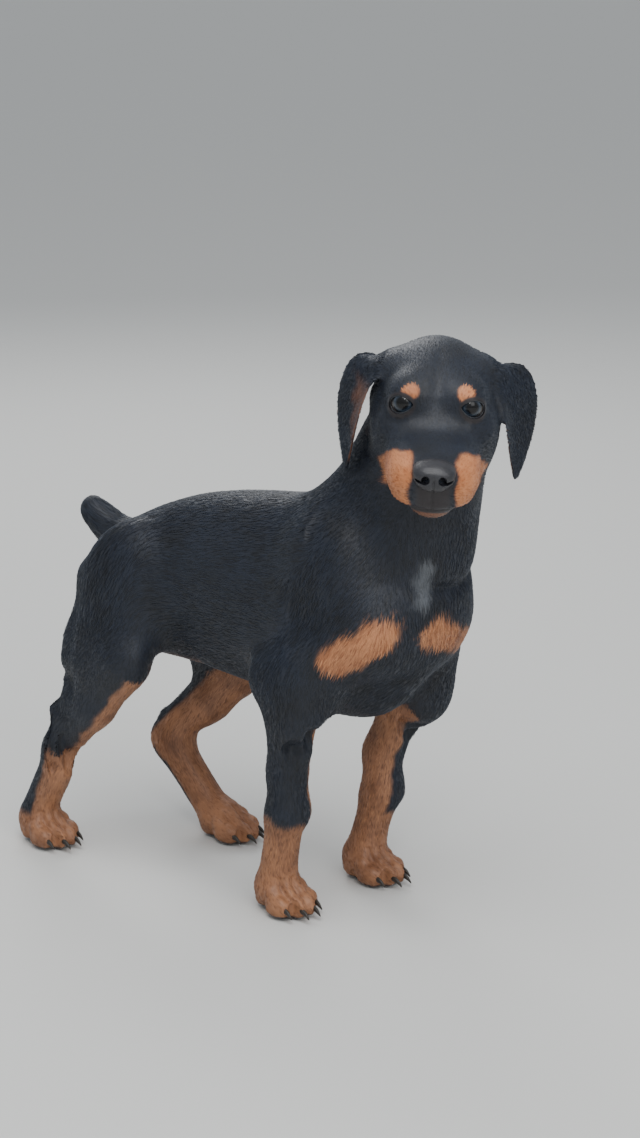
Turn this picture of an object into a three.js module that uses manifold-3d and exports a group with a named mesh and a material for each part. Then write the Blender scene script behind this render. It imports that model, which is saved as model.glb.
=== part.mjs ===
// A Doberman pinscher puppy about nine weeks old, life size, standing with its head turned to its right.
// Millimetres, +Z up, the puppy faces +X and its left side is +Y. The floor is z = 0.
// The body is one smooth surface, described by a distance function and parted by thin cuts.

import * as THREE from "three";
import { mergeVertices } from "three/addons/utils/BufferGeometryUtils.js";
import Module from "manifold-3d";

const wasm = await Module();
wasm.setup();

// Driving sizes
const WITHERS_HEIGHT = 318; // floor to the top of the shoulder blades
const GAP = 0.3; // clear space between parts that touch
const EYE_RADIUS = 10.2;
const EAR_WIDTH = 50;
const EAR_THICKNESS = 3.2;

// Facet sizes, finest where the face and the toes need it
const TORSO_FACET = 15;
const NECK_FACET = 13;
const HEAD_FACET = 6.2;
const NOSE_FACET = 3.2;
const LIMB_FACET = 10.5;
const PAW_FACET = 6.6;
const TAIL_FACET = 10;

const RIGHT = -1;
const LEFT = 1;

// Distance functions: negative inside, positive outside
const clamp = (value, low, high) => Math.min(high, Math.max(low, value));

function blend(a, b, radius) {
  const share = Math.max(radius - Math.abs(a - b), 0) / radius;
  return Math.min(a, b) - (share * share * radius) / 4;
}

function blendAll(distances, radius) {
  return distances.reduce((joined, next) => blend(joined, next, radius));
}

function carve(a, b, radius) {
  return -blend(-a, b, radius);
}

// An ellipsoid, turned by an optional quaternion
function ellipsoid(centre, radii, turn) {
  const [cx, cy, cz] = centre;
  const [rx, ry, rz] = radii;
  const back = turn ? turn.clone().invert() : null;
  const local = new THREE.Vector3();
  return (x, y, z) => {
    local.set(x - cx, y - cy, z - cz);
    if (back) local.applyQuaternion(back);
    const k0 = Math.hypot(local.x / rx, local.y / ry, local.z / rz);
    const k1 = Math.hypot(local.x / rx ** 2, local.y / ry ** 2, local.z / rz ** 2);
    return k1 === 0 ? -Math.min(rx, ry, rz) : (k0 * (k0 - 1)) / k1;
  };
}

// A tapered rod with round ends, from a to b; flat squeezes its section across the given direction
function rod(a, b, radiusA, radiusB, flat = 1, across = [0, 1, 0]) {
  const start = new THREE.Vector3(...a);
  const along = new THREE.Vector3(...b).sub(start);
  const length2 = along.lengthSq();
  const side = new THREE.Vector3(...across).normalize();
  const offset = new THREE.Vector3();
  return (x, y, z) => {
    offset.set(x, y, z).sub(start);
    const share = clamp(offset.dot(along) / length2, 0, 1);
    offset.addScaledVector(along, -share);
    const wide = offset.dot(side);
    offset.addScaledVector(side, wide / flat - wide);
    return (offset.length() - (radiusA + (radiusB - radiusA) * share)) * Math.min(1, flat);
  };
}

// A value read off a row of [place, value...] stations with a smooth curve between them
function readStations(stations, place) {
  const last = stations.length - 1;
  const at = clamp(place, stations[0][0], stations[last][0]);
  let i = 0;
  while (i < last - 1 && at > stations[i + 1][0]) i += 1;
  const rows = [stations[Math.max(i - 1, 0)], stations[i], stations[i + 1], stations[Math.min(i + 2, last)]];
  const t = (at - rows[1][0]) / (rows[2][0] - rows[1][0]);
  return rows[1].slice(1).map((from, k) => {
    const to = rows[2][k + 1];
    const slopeIn = (to - rows[0][k + 1]) / 2;
    const slopeOut = (rows[3][k + 1] - from) / 2;
    const t2 = t * t;
    const t3 = t2 * t;
    return (
      (2 * t3 - 3 * t2 + 1) * from + (t3 - 2 * t2 + t) * slopeIn + (3 * t2 - 2 * t3) * to + (t3 - t2) * slopeOut
    );
  });
}

// A trunk along x whose sections are read off stations of [x, top, bottom, half width]
function trunk(stations, squareness) {
  const first = stations[0][0];
  const last = stations[stations.length - 1][0];
  return (x, y, z) => {
    const [top, bottom, half] = readStations(stations, x);
    const tall = (top - bottom) / 2;
    const up = (z - (top + bottom) / 2) / tall;
    const across = y / half;
    const reach = (Math.abs(up) ** squareness + Math.abs(across) ** squareness) ** (1 / squareness);
    const round = (reach - 1) * Math.min(tall, half);
    const beyond = Math.max(first - x, x - last);
    return Math.max(round, beyond);
  };
}

// Torso
const TORSO_STATIONS = [
  // x, top, bottom, half width
  [-144, 246, 200, 28],
  [-128, 264, 180, 42],
  [-103, 281, 166, 49],
  [-60, 296, 163, 50],
  [-10, 304, 158, 56],
  [35, 308, 153, 58],
  [75, WITHERS_HEIGHT - 2, 150, 57],
  [108, 303, 160, 52],
  [134, 264, 190, 38],
];

function torsoShape() {
  const barrel = trunk(TORSO_STATIONS, 2.15);
  const forechest = ellipsoid([116, 0, 224], [30, 42, 40]);
  const keel = ellipsoid([84, 0, 178], [48, 24, 28]);
  const rump = ellipsoid([-114, 0, 227], [30, 40, 38]);
  const sides = [RIGHT, LEFT].flatMap((side) => [
    ellipsoid([88, 44 * side, 250], [34, 18, 56], leaning(0, -18, 0)),
    rod([122, 42 * side, 222], [54, 56 * side, 184], 22, 22),
    ellipsoid([118, 34 * side, 226], [24, 24, 32]),
    ellipsoid([-100, 36 * side, 226], [37, 22, 46]),
  ]);
  return (x, y, z) =>
    blendAll(
      [barrel, forechest, keel, rump, ...sides].map((shape) => shape(x, y, z)),
      16,
    );
}

function leaning(rollDeg, pitchDeg, yawDeg) {
  const turn = new THREE.Euler(
    THREE.MathUtils.degToRad(rollDeg),
    THREE.MathUtils.degToRad(pitchDeg),
    THREE.MathUtils.degToRad(yawDeg),
    "ZYX",
  );
  return new THREE.Quaternion().setFromEuler(turn);
}

// Legs: the joints of each, from the body down to the toes
const FORELEGS = [
  {
    side: RIGHT,
    name: "right",
    elbow: [64, -57, 178],
    wrist: [53, -49, 84],
    paw: [41, -45],
    pawYaw: -12,
  },
  {
    side: LEFT,
    name: "left",
    elbow: [96, 52, 174],
    wrist: [68, 50, 76],
    paw: [57, 44],
    pawYaw: -6,
  },
];

const HIND_LEGS = [
  {
    side: RIGHT,
    name: "right",
    hip: [-102, -40, 230],
    knee: [-91, -58, 170],
    hock: [-167, -51, 86],
    paw: [-197, -46],
    pawYaw: -8,
  },
  {
    side: LEFT,
    name: "left",
    hip: [-102, 40, 228],
    knee: [-68, 60, 144],
    hock: [-141, 50, 74],
    paw: [-88, 48],
    pawYaw: -3,
  },
];

const TOES = [
  // along the paw, across it, radius
  [17, -14, 8.2],
  [25, -5.2, 8.8],
  [25, 5.2, 8.8],
  [17, 14, 8.2],
];
const PAW_HEIGHT = 13;

function pawPoint(leg, along, across, up) {
  const yaw = THREE.MathUtils.degToRad(leg.pawYaw);
  const x = leg.paw[0] + along * Math.cos(yaw) - across * Math.sin(yaw);
  const y = leg.paw[1] + along * Math.sin(yaw) + across * Math.cos(yaw);
  return [x, y, up];
}

function pawShapes(leg) {
  const turn = leaning(0, 0, leg.pawYaw);
  const shapes = [
    ellipsoid(pawPoint(leg, 2, 0, PAW_HEIGHT + 4), [20, 16.5, 15], turn),
    ellipsoid(pawPoint(leg, -4, 0, 8), [13, 14, 10], turn),
  ];
  for (const [along, across, radius] of TOES) {
    shapes.push(ellipsoid(pawPoint(leg, along, across, radius + 0.5), [radius * 1.5, radius * 0.82, radius * 1.15], turn));
  }
  return shapes;
}

// Claws: short blunt cones, their roots sunk in the toes
function clawGeometry(leg, [along, across, radius]) {
  const claw = new THREE.ConeGeometry(2.4, 10, 5);
  claw.rotateZ(-Math.PI / 2);
  claw.rotateY(THREE.MathUtils.degToRad(22));
  claw.rotateZ(THREE.MathUtils.degToRad(leg.pawYaw));
  const [x, y, z] = pawPoint(leg, along + radius * 1.5 + 0.4, across * 1.06, radius * 0.92);
  claw.translate(x, y, z);
  return claw;
}

function foreleg(leg) {
  const [ex, ey, ez] = leg.elbow;
  const [wx, wy, wz] = leg.wrist;
  const shapes = [
    rod([ex + 12, ey + 4 * -leg.side, ez + 14], [ex + 7, ey, ez - 20], 27, 23),
    ellipsoid([ex - 18, ey + 1.5 * leg.side, ez + 4], [13, 10, 14]),
    rod([ex + 5, ey, ez - 12], [wx + 1, wy, wz + 26], 24, 15.5, 0.92),
    rod([wx + 1, wy, wz + 26], [wx + 2, wy, wz], 14.5, 15.5),
    ellipsoid([wx + 4, wy, wz - 2], [15.5, 15.5, 15]),
    rod([wx, wy, wz - 6], pawPoint(leg, 0, 0, 20), 14, 15),
    ellipsoid([wx - 12, wy, wz - 12], [6, 6, 7]),
  ];
  const column = (x, y, z) => blendAll(shapes.map((shape) => shape(x, y, z)), 9);
  const toes = pawShapes(leg);
  return (x, y, z) => blend(column(x, y, z), blendAll(toes.map((shape) => shape(x, y, z)), 3.2), 6);
}

function hindLeg(leg) {
  const [hx, hy, hz] = leg.hip;
  const [kx, ky, kz] = leg.knee;
  const [ox, oy, oz] = leg.hock;
  const midShank = [kx * 0.5 + ox * 0.5, ky * 0.5 + oy * 0.5, kz * 0.5 + oz * 0.5];
  const shapes = [
    rod([hx, hy, hz], [kx - 8, ky, kz + 6], 37, 24, 0.63),
    rod([hx - 14, hy + 4 * leg.side, hz - 6], [ox * 0.35 + kx * 0.65 - 11, ky, kz - 8], 25, 19.5, 0.72),
    rod([kx - 4, ky, kz], midShank, 23, 17, 0.82),
    rod(midShank, [ox + 8, oy, oz + 8], 17, 13.5, 0.85),
    rod([ox * 0.7 + kx * 0.3 - 12, oy, oz * 0.7 + kz * 0.3], [ox - 4, oy, oz + 4], 11, 9.5),
    ellipsoid([ox + 2, oy, oz - 2], [18.5, 14, 17]),
    rod([ox + 1, oy, oz - 6], pawPoint(leg, -6, 0, 20), 15.5, 14.2, 0.94),
  ];
  const column = (x, y, z) => blendAll(shapes.map((shape) => shape(x, y, z)), 10);
  const toes = pawShapes(leg);
  return (x, y, z) => blend(column(x, y, z), blendAll(toes.map((shape) => shape(x, y, z)), 3.2), 6);
}

// Tail: docked short, carried up
const TAIL_ROOT = [-140, 0, 244];
const TAIL_TIP = [-172, -3, 268];

function tailShape() {
  return rod(TAIL_ROOT, TAIL_TIP, 18, 12.5);
}

// Head: its own frame has u forward along the muzzle, v to the puppy's left, w up
const HEAD_CENTRE = [151, -4, 390];
const HEAD_TURN = leaning(-3.5, 12.5, -56);

const headFrame = new THREE.Group();
headFrame.position.set(...HEAD_CENTRE);
headFrame.quaternion.copy(HEAD_TURN);
headFrame.updateMatrixWorld(true);

function headPoint(u, v, w) {
  return headFrame.localToWorld(new THREE.Vector3(u, v, w)).toArray();
}

function inHeadFrame(shape) {
  const back = headFrame.matrixWorld.clone().invert();
  const local = new THREE.Vector3();
  return (x, y, z) => {
    local.set(x, y, z).applyMatrix4(back);
    return shape(local.x, local.y, local.z);
  };
}

const EYE_PLACE = [28.5, 21.5, 9];
const NOSE_PLACE = [95, 0, -15];
const MUZZLE_STATIONS = [
  // u, top, bottom, half width
  [8, 22, -40, 38],
  [32, 8, -41, 36],
  [50, -1, -41, 32.5],
  [72, -5, -40, 29.5],
  [88, -8, -37, 25],
  [97, -12, -34, 18],
];

function skullShape() {
  const parts = [
    ellipsoid([-8, 0, 2], [49, 42, 34]),
    ellipsoid([-40, 0, 4], [16, 16, 20]),
    trunk(MUZZLE_STATIONS, 2.5),
    ellipsoid([88, 0, -24], [12, 17, 13]),
  ];
  for (const side of [RIGHT, LEFT]) {
    parts.push(
      ellipsoid([22, 18 * side, 14], [17, 16, 13]),
      ellipsoid([4, 29 * side, -18], [33, 15, 25]),
      rod([26, 31 * side, -10], [-14, 37 * side, -4], 8, 8),
      ellipsoid([66, 18 * side, -29], [26, 12, 13]),
      ellipsoid([-12, 31 * side, 18], [19, 13, 11.5]),
    );
  }
  const solid = (u, v, w) => blendAll(parts.map((shape) => shape(u, v, w)), 9);
  const philtrum = rod([103, 0, -20], [97, 0, -44], 1.8, 2.2);
  return (u, v, w) => carve(solid(u, v, w), philtrum(u, v, w), 3);
}

// Nose leather: a rounded pad with two nostrils that open to the side
function nosePad() {
  const wide = ellipsoid([93, 0, -14.5], [10, 13.5, 9.5]);
  const tip = ellipsoid([96, 0, -16], [7.5, 10, 8.5]);
  return (u, v, w) => blend(wide(u, v, w), tip(u, v, w), 4);
}

function noseShape() {
  const pad = nosePad();
  const nostrils = [RIGHT, LEFT].map((side) => {
    const bore = rod([104, 5.4 * side, -15], [93, 6.4 * side, -13], 2.7, 2.2);
    const slit = rod([102, 7 * side, -17], [92, 14 * side, -17], 1.5, 1.3);
    return (u, v, w) => blend(bore(u, v, w), slit(u, v, w), 2);
  });
  const groove = rod([105, 0, -17], [101, 0, -27], 0.9, 1.4);
  return (u, v, w) => {
    let distance = pad(u, v, w);
    for (const nostril of nostrils) distance = carve(distance, nostril(u, v, w), 1.4);
    return carve(distance, groove(u, v, w), 1.5);
  };
}

// Ears: soft leather flaps that rise from the skull, fold and hang beside the cheek
const EAR_RINGS = 11;
const EAR_POINTS = 12;
const EAR_STATIONS = [
  // share of the length, u, v, w, share of the width, hollow of the inner face
  [0, -12, 28, 14, 0.6, 0],
  [0.16, -12, 43, 20, 0.8, 1],
  [0.34, -10, 54, 10, 1, 3],
  [0.6, -6, 60, -14, 1, 5],
  [0.84, 0, 61, -38, 0.6, 3],
  [1, 5, 60, -55, 0.1, 0],
];
const EARS = [
  // flare: how far the rear edge stands out from the cheek
  { side: RIGHT, name: "right", flare: 0.3 },
  { side: LEFT, name: "left", flare: 0.5 },
];

function earGeometry({ side, flare }) {
  const places = [];
  const faces = [];
  const across = new THREE.Vector3(-0.86, flare * side, 0.06).normalize();
  const centreAt = (share) => {
    const [u, v, w] = readStations(EAR_STATIONS, share);
    return new THREE.Vector3(u, v * side, w);
  };
  for (let ring = 0; ring < EAR_RINGS; ring++) {
    const share = ring / (EAR_RINGS - 1);
    const [, , , width, hollow] = readStations(EAR_STATIONS, share);
    const half = (EAR_WIDTH / 2) * width;
    const centre = centreAt(share);
    const down = centreAt(Math.min(share + 0.03, 1)).sub(centreAt(Math.max(share - 0.03, 0))).normalize();
    const out = new THREE.Vector3().crossVectors(across, down).multiplyScalar(side).normalize();
    for (let n = 0; n < EAR_POINTS; n++) {
      const angle = (2 * Math.PI * n) / EAR_POINTS;
      const wide = Math.cos(angle);
      const thick = (EAR_THICKNESS / 2) * Math.sin(angle) * (1.15 - 0.5 * wide * wide) + hollow * (0.5 - wide * wide);
      places.push(centre.clone().addScaledVector(across, half * wide).addScaledVector(out, thick));
    }
  }
  for (let ring = 0; ring < EAR_RINGS - 1; ring++) {
    for (let n = 0; n < EAR_POINTS; n++) {
      const a = ring * EAR_POINTS + n;
      const b = ring * EAR_POINTS + ((n + 1) % EAR_POINTS);
      faces.push(a, b, b + EAR_POINTS, a, b + EAR_POINTS, a + EAR_POINTS);
    }
  }
  for (const ring of [0, EAR_RINGS - 1]) {
    const first = ring * EAR_POINTS;
    for (let n = 1; n < EAR_POINTS - 1; n++) {
      faces.push(first, ...(ring === 0 ? [first + n + 1, first + n] : [first + n, first + n + 1]));
    }
  }
  const geometry = new THREE.BufferGeometry().setFromPoints(places);
  geometry.setIndex(side === LEFT ? faces.reverse() : faces);
  geometry.applyMatrix4(headFrame.matrixWorld);
  return geometry;
}

// Mouth line: a thin blade across the muzzle, from the lips to the corner and down behind the jaw
const MOUTH_LINE = [
  [112, -39],
  [92, -38],
  [72, -41],
  [54, -40],
  [42, -37],
  [33, -45],
  [26, -58],
  [23, -80],
];

// An outline in the head's side view, carried right across the head
function acrossHead(outline) {
  const slab = new THREE.ExtrudeGeometry(new THREE.Shape(outline), { depth: 200, bevelEnabled: false });
  slab.rotateX(Math.PI / 2);
  slab.translate(0, 100, 0);
  slab.applyMatrix4(headFrame.matrixWorld);
  return solidOf(slab);
}

function mouthBlade() {
  const line = MOUTH_LINE.map(([u, w]) => new THREE.Vector2(u, w));
  const sides = [1, -1].map((way) =>
    line.map((point, n) => {
      const before = line[Math.max(n - 1, 0)];
      const after = line[Math.min(n + 1, line.length - 1)];
      const run = after.clone().sub(before).normalize();
      return new THREE.Vector2(point.x - run.y * way * (GAP / 2), point.y + run.x * way * (GAP / 2));
    }),
  );
  return acrossHead([...sides[0], ...sides[1].reverse()]);
}

// The space of the head: its long slanting edge is the cut from the nape to the throat
const HEAD_OUTLINE = [
  [-66, 70],
  [-66, 44.7],
  [14, -62],
  [130, -68],
  [130, 70],
];

function headRoom(gap) {
  return acrossHead(HEAD_OUTLINE.map(([u, w]) => new THREE.Vector2(u - 0.8 * gap, w - 0.6 * gap)));
}

// Eyes and the openings between their lids
const EYE_OUTWARD = THREE.MathUtils.degToRad(26);
const OPENING = { deep: 9, wide: 9.2, high: 6, forward: 8 };

function eyeball(side, radius) {
  const ball = new THREE.SphereGeometry(radius, 16, 10);
  ball.rotateY(Math.PI / 2);
  ball.rotateZ(EYE_OUTWARD * side);
  ball.translate(EYE_PLACE[0], EYE_PLACE[1] * side, EYE_PLACE[2]);
  ball.applyMatrix4(headFrame.matrixWorld);
  return solidOf(ball);
}

function lidOpening(side) {
  const opening = new THREE.SphereGeometry(1, 14, 10);
  opening.scale(OPENING.deep, OPENING.wide, OPENING.high);
  opening.translate(OPENING.forward, 0, 0);
  opening.rotateX(THREE.MathUtils.degToRad(8 * side));
  opening.rotateZ(EYE_OUTWARD * side);
  opening.translate(EYE_PLACE[0], EYE_PLACE[1] * side, EYE_PLACE[2]);
  opening.applyMatrix4(headFrame.matrixWorld);
  return solidOf(opening);
}

// Eyelids stand round the eyeball as a shell that the opening is cut from
function lidShapes() {
  return [RIGHT, LEFT].map((side) =>
    ellipsoid([EYE_PLACE[0], EYE_PLACE[1] * side, EYE_PLACE[2]], [EYE_RADIUS + 2, EYE_RADIUS + 2.6, EYE_RADIUS + 1.6]),
  );
}

function jawShape() {
  const parts = [
    rod([6, 0, -42], [74, 0, -43], 15, 9, 1.35),
    ellipsoid([82, 0, -43], [11, 15, 9]),
    rod([-8, 28, -28], [44, 17, -42], 11, 10),
    rod([-8, -28, -28], [44, -17, -42], 11, 10),
  ];
  return (u, v, w) => blendAll(parts.map((shape) => shape(u, v, w)), 7);
}

const skull = skullShape();
const lids = lidShapes();
const jaw = jawShape();
const upperHead = inHeadFrame((u, v, w) =>
  blend(skull(u, v, w), Math.min(...lids.map((lid) => lid(u, v, w))), 4),
);
const lowerJaw = inHeadFrame(jaw);

// Neck: from between the shoulders up to the back of the skull
function neckShape() {
  const parts = [
    rod([92, 0, 260], headPoint(-22, 0, 0), 48, 31),
    rod([117, 8, 238], headPoint(5, 6, -26), 48, 34),
    rod([74, 0, 282], headPoint(-28, 0, 6), 24, 22),
  ];
  return (x, y, z) => blendAll(parts.map((shape) => shape(x, y, z)), 18);
}

const torso = torsoShape();
const neck = neckShape();
const tail = tailShape();
const legs = [...FORELEGS.map(foreleg), ...HIND_LEGS.map(hindLeg)];

function body(x, y, z) {
  let distance = blend(torso(x, y, z), neck(x, y, z), 26);
  distance = blend(distance, tail(x, y, z), 12);
  for (const leg of legs) distance = blend(distance, leg(x, y, z), 15);
  const jawed = blend(distance, lowerJaw(x, y, z), 10);
  return blend(jawed, upperHead(x, y, z), 12);
}

const CORNERS = [0, 1, 2, 3, 4, 5, 6, 7].map((c) => [c & 1, (c >> 1) & 1, (c >> 2) & 1]);
const EDGES = CORNERS.flatMap((_, a) => [1, 2, 4].filter((bit) => !(a & bit)).map((bit) => [a, a | bit]));

// Whether a cell's inside corners, and its outside ones, each hang together along the cell's edges
function isSimple(corner) {
  const group = corner.map((_, c) => c);
  for (let round = 0; round < 3; round++) {
    for (const [a, b] of EDGES) {
      if (corner[a] < 0 === corner[b] < 0) group[a] = group[b] = Math.min(group[a], group[b]);
    }
  }
  return new Set(group).size <= 2;
}

// Where the surface would touch itself in a cell, the corner nearest to it changes sides
function untangle(values, [nx, ny, nz], index) {
  let changed = true;
  for (let round = 0; changed && round < 40; round++) {
    changed = false;
    for (let k = 0; k < nz - 1; k++) {
      for (let j = 0; j < ny - 1; j++) {
        for (let i = 0; i < nx - 1; i++) {
          const places = CORNERS.map(([a, b, c]) => index(i + a, j + b, k + c));
          if (isSimple(places.map((place) => values[place]))) continue;
          const filled = places.filter((place) => values[place] < 0 || round > 20);
          const nearest = filled.reduce((p, q) => (Math.abs(values[q]) < Math.abs(values[p]) ? q : p));
          values[nearest] = Math.abs(values[nearest]) + 1e-3;
          changed = true;
        }
      }
    }
  }
}

// Turns a distance function into a closed mesh: one point for each cell that the surface crosses,
// joined across the grid edges that it cuts, then pulled on to the surface
function meshOf(shape, low, high, facet) {
  const counts = low.map((from, k) => Math.ceil((high[k] - from) / facet) + 1);
  const [nx, ny, nz] = counts;
  const values = new Float64Array(nx * ny * nz);
  const index = (i, j, k) => (k * ny + j) * nx + i;
  for (let k = 0; k < nz; k++) {
    for (let j = 0; j < ny; j++) {
      for (let i = 0; i < nx; i++) {
        const rim = i === 0 || j === 0 || k === 0 || i === nx - 1 || j === ny - 1 || k === nz - 1;
        const value = shape(low[0] + i * facet, low[1] + j * facet, low[2] + k * facet);
        values[index(i, j, k)] = rim ? Math.max(value, facet * 0.5) : value;
      }
    }
  }

  untangle(values, counts, index);
  const cellPoint = new Int32Array(nx * ny * nz).fill(-1);
  const points = [];
  for (let k = 0; k < nz - 1; k++) {
    for (let j = 0; j < ny - 1; j++) {
      for (let i = 0; i < nx - 1; i++) {
        const corner = CORNERS.map(([a, b, c]) => values[index(i + a, j + b, k + c)]);
        const inside = corner.filter((value) => value < 0).length;
        if (inside === 0 || inside === 8) continue;
        const sum = [0, 0, 0];
        let crossings = 0;
        for (const [a, b] of EDGES) {
          if (corner[a] < 0 === corner[b] < 0) continue;
          const share = corner[a] / (corner[a] - corner[b]);
          for (let axis = 0; axis < 3; axis++) {
            sum[axis] += CORNERS[a][axis] + share * (CORNERS[b][axis] - CORNERS[a][axis]);
          }
          crossings += 1;
        }
        cellPoint[index(i, j, k)] = points.length;
        points.push([i, j, k].map((n, axis) => low[axis] + (n + sum[axis] / crossings) * facet));
      }
    }
  }

  const faces = [];
  const STEPS = [
    [0, 1, 0, 0, 0, 1],
    [0, 0, 1, 1, 0, 0],
    [1, 0, 0, 0, 1, 0],
  ];
  for (let k = 0; k < nz - 1; k++) {
    for (let j = 0; j < ny - 1; j++) {
      for (let i = 0; i < nx - 1; i++) {
        const here = values[index(i, j, k)] < 0;
        for (let axis = 0; axis < 3; axis++) {
          const [di, dj, dk] = [axis === 0, axis === 1, axis === 2].map(Number);
          const there = values[index(i + di, j + dj, k + dk)] < 0;
          if (here === there) continue;
          const [ai, aj, ak, bi, bj, bk] = STEPS[axis];
          const quad = [
            cellPoint[index(i, j, k)],
            cellPoint[index(i - ai, j - aj, k - ak)],
            cellPoint[index(i - ai - bi, j - aj - bj, k - ak - bk)],
            cellPoint[index(i - bi, j - bj, k - bk)],
          ];
          if (!here) quad.reverse();
          faces.push(quad[0], quad[1], quad[2], quad[0], quad[2], quad[3]);
        }
      }
    }
  }

  settle(points, faces, shape, low, high, facet);
  const geometry = new THREE.BufferGeometry();
  geometry.setAttribute("position", new THREE.Float32BufferAttribute(points.flat(), 3));
  geometry.setIndex(faces);
  return geometry;
}

// Evens the points out, then pulls each on to the surface; points on the grid's rim stay put
function settle(points, faces, shape, low, high, facet) {
  const near = points.map(() => new Set());
  for (let f = 0; f < faces.length; f += 3) {
    for (let e = 0; e < 3; e++) {
      near[faces[f + e]].add(faces[f + ((e + 1) % 3)]);
      near[faces[f + ((e + 1) % 3)]].add(faces[f + e]);
    }
  }
  const onRim = points.map((p) => p.some((v, k) => v < low[k] + 1.6 * facet || v > high[k] - 1.6 * facet));
  const step = facet * 0.02;
  for (let round = 0; round < 3; round++) {
    const before = points.map((p) => [...p]);
    points.forEach((p, n) => {
      if (onRim[n]) return;
      const mean = [0, 0, 0];
      for (const m of near[n]) before[m].forEach((v, k) => (mean[k] += v / near[n].size));
      for (let k = 0; k < 3; k++) p[k] += 0.5 * (mean[k] - p[k]);
      for (let pull = 0; pull < 2; pull++) {
        const here = shape(...p);
        const slope = [0, 1, 2].map((k) => {
          const q = [...p];
          q[k] += step;
          return (shape(...q) - here) / step;
        });
        const steep = slope[0] ** 2 + slope[1] ** 2 + slope[2] ** 2;
        if (steep < 0.05) return;
        for (let k = 0; k < 3; k++) p[k] -= clamp((here * slope[k]) / steep, -facet / 2, facet / 2);
      }
    });
  }
}

// Solids for joining and cutting
function solidOf(geometry) {
  const bare = geometry.clone();
  bare.deleteAttribute("normal");
  bare.deleteAttribute("uv");
  const merged = mergeVertices(bare, 1e-4);
  return new wasm.Manifold(
    new wasm.Mesh({
      numProp: 3,
      vertProperties: new Float32Array(merged.attributes.position.array),
      triVerts: new Uint32Array(merged.index.array),
    }),
  );
}

function largestOf(solid) {
  return solid.decompose().reduce((best, next) => (next.volume() > best.volume() ? next : best));
}

function geometryOf(solid) {
  const mesh = solid.getMesh();
  const places = new Float32Array(mesh.numVert * 3);
  for (let i = 0; i < mesh.numVert; i++) {
    places.set(mesh.vertProperties.subarray(i * mesh.numProp, i * mesh.numProp + 3), i * 3);
  }
  return new THREE.BufferGeometry()
    .setAttribute("position", new THREE.BufferAttribute(places, 3))
    .setIndex(new THREE.BufferAttribute(mesh.triVerts, 1));
}

// An arched block for a limb: its flat face is the cut, its round top follows the shoulder or the haunch
function arch(point, normal, [half, low, deep], gap) {
  const outline = new THREE.Shape();
  outline.moveTo(-half - gap, -low);
  outline.lineTo(half + gap, -low);
  outline.lineTo(half + gap, 0);
  outline.absarc(0, 0, half + gap, 0, Math.PI);
  const shape = new THREE.ExtrudeGeometry(outline, { depth: deep + gap, bevelEnabled: false, curveSegments: 16 });
  shape.translate(0, 0, -gap);
  const outward = new THREE.Vector3(...normal).normalize();
  const upward = new THREE.Vector3(0, 0, 1).addScaledVector(outward, -outward.z).normalize();
  const along = new THREE.Vector3().crossVectors(upward, outward);
  shape.applyMatrix4(new THREE.Matrix4().makeBasis(along, upward, outward));
  shape.translate(...point);
  return solidOf(shape);
}

// A block whose near face is the cut: it lies on the side that the normal points to
function block(point, normal, sizes, gap) {
  const [wide, high, deep] = sizes;
  const shape = new THREE.BoxGeometry(wide + 2 * gap, high + 2 * gap, deep + 2 * gap);
  shape.translate(0, 0, deep / 2);
  const turn = new THREE.Quaternion().setFromUnitVectors(
    new THREE.Vector3(0, 0, 1),
    new THREE.Vector3(...normal).normalize(),
  );
  shape.applyQuaternion(turn);
  shape.translate(...point);
  return solidOf(shape);
}

// Materials
const PAINT = {
  coat: { color: 0x1b1c20, roughness: 0.5, metalness: 0 },
  tan: { color: 0x9a5a33, roughness: 0.65, metalness: 0 },
  nose: { color: 0x2a2a2f, roughness: 0.45, metalness: 0 },
  eye: { color: 0x33302c, roughness: 0.08, metalness: 0 },
};

const puppy = new THREE.Group();

function addNode(name, solid, paint) {
  const mesh = new THREE.Mesh(geometryOf(solid), new THREE.MeshStandardMaterial(PAINT[paint]));
  mesh.name = name;
  puppy.add(mesh);
}

// Cuts between the parts. Each block holds the whole of the part on its own side of the cut.
function cutBlocks(point, normal, sizes) {
  return { keep: block(point, normal, sizes, -GAP / 2), clear: block(point, normal, sizes, GAP / 2) };
}

function between(a, b, share) {
  return a.map((from, k) => from + (b[k] - from) * share);
}

// The direction halfway between those of two lengths that meet at a joint
function bend(a, b, c) {
  const before = new THREE.Vector3(...b).sub(new THREE.Vector3(...a)).normalize();
  const after = new THREE.Vector3(...c).sub(new THREE.Vector3(...b)).normalize();
  return before.add(after).toArray();
}

// The space round some points, as a low and a high corner
function roomRound(points, margin) {
  return [
    [0, 1, 2].map((k) => Math.min(...points.map((p) => p[k])) - margin),
    [0, 1, 2].map((k) => Math.max(...points.map((p) => p[k])) + margin),
  ];
}

const LIMB_BLOCK = [190, 190, 170];
const FLOOR_BLOCK = block([0, 0, 0], [0, 0, -1], [900, 900, 90], 0);
// Below this height there is no trunk, so all the flesh there belongs to the legs
const UNDER_BELLY = block([0, 0, 140], [0, 0, -1], [900, 900, 160], 0);

function cutArches(point, normal, sizes) {
  return { keep: arch(point, normal, sizes, -GAP / 2), clear: arch(point, normal, sizes, GAP / 2) };
}

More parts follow.
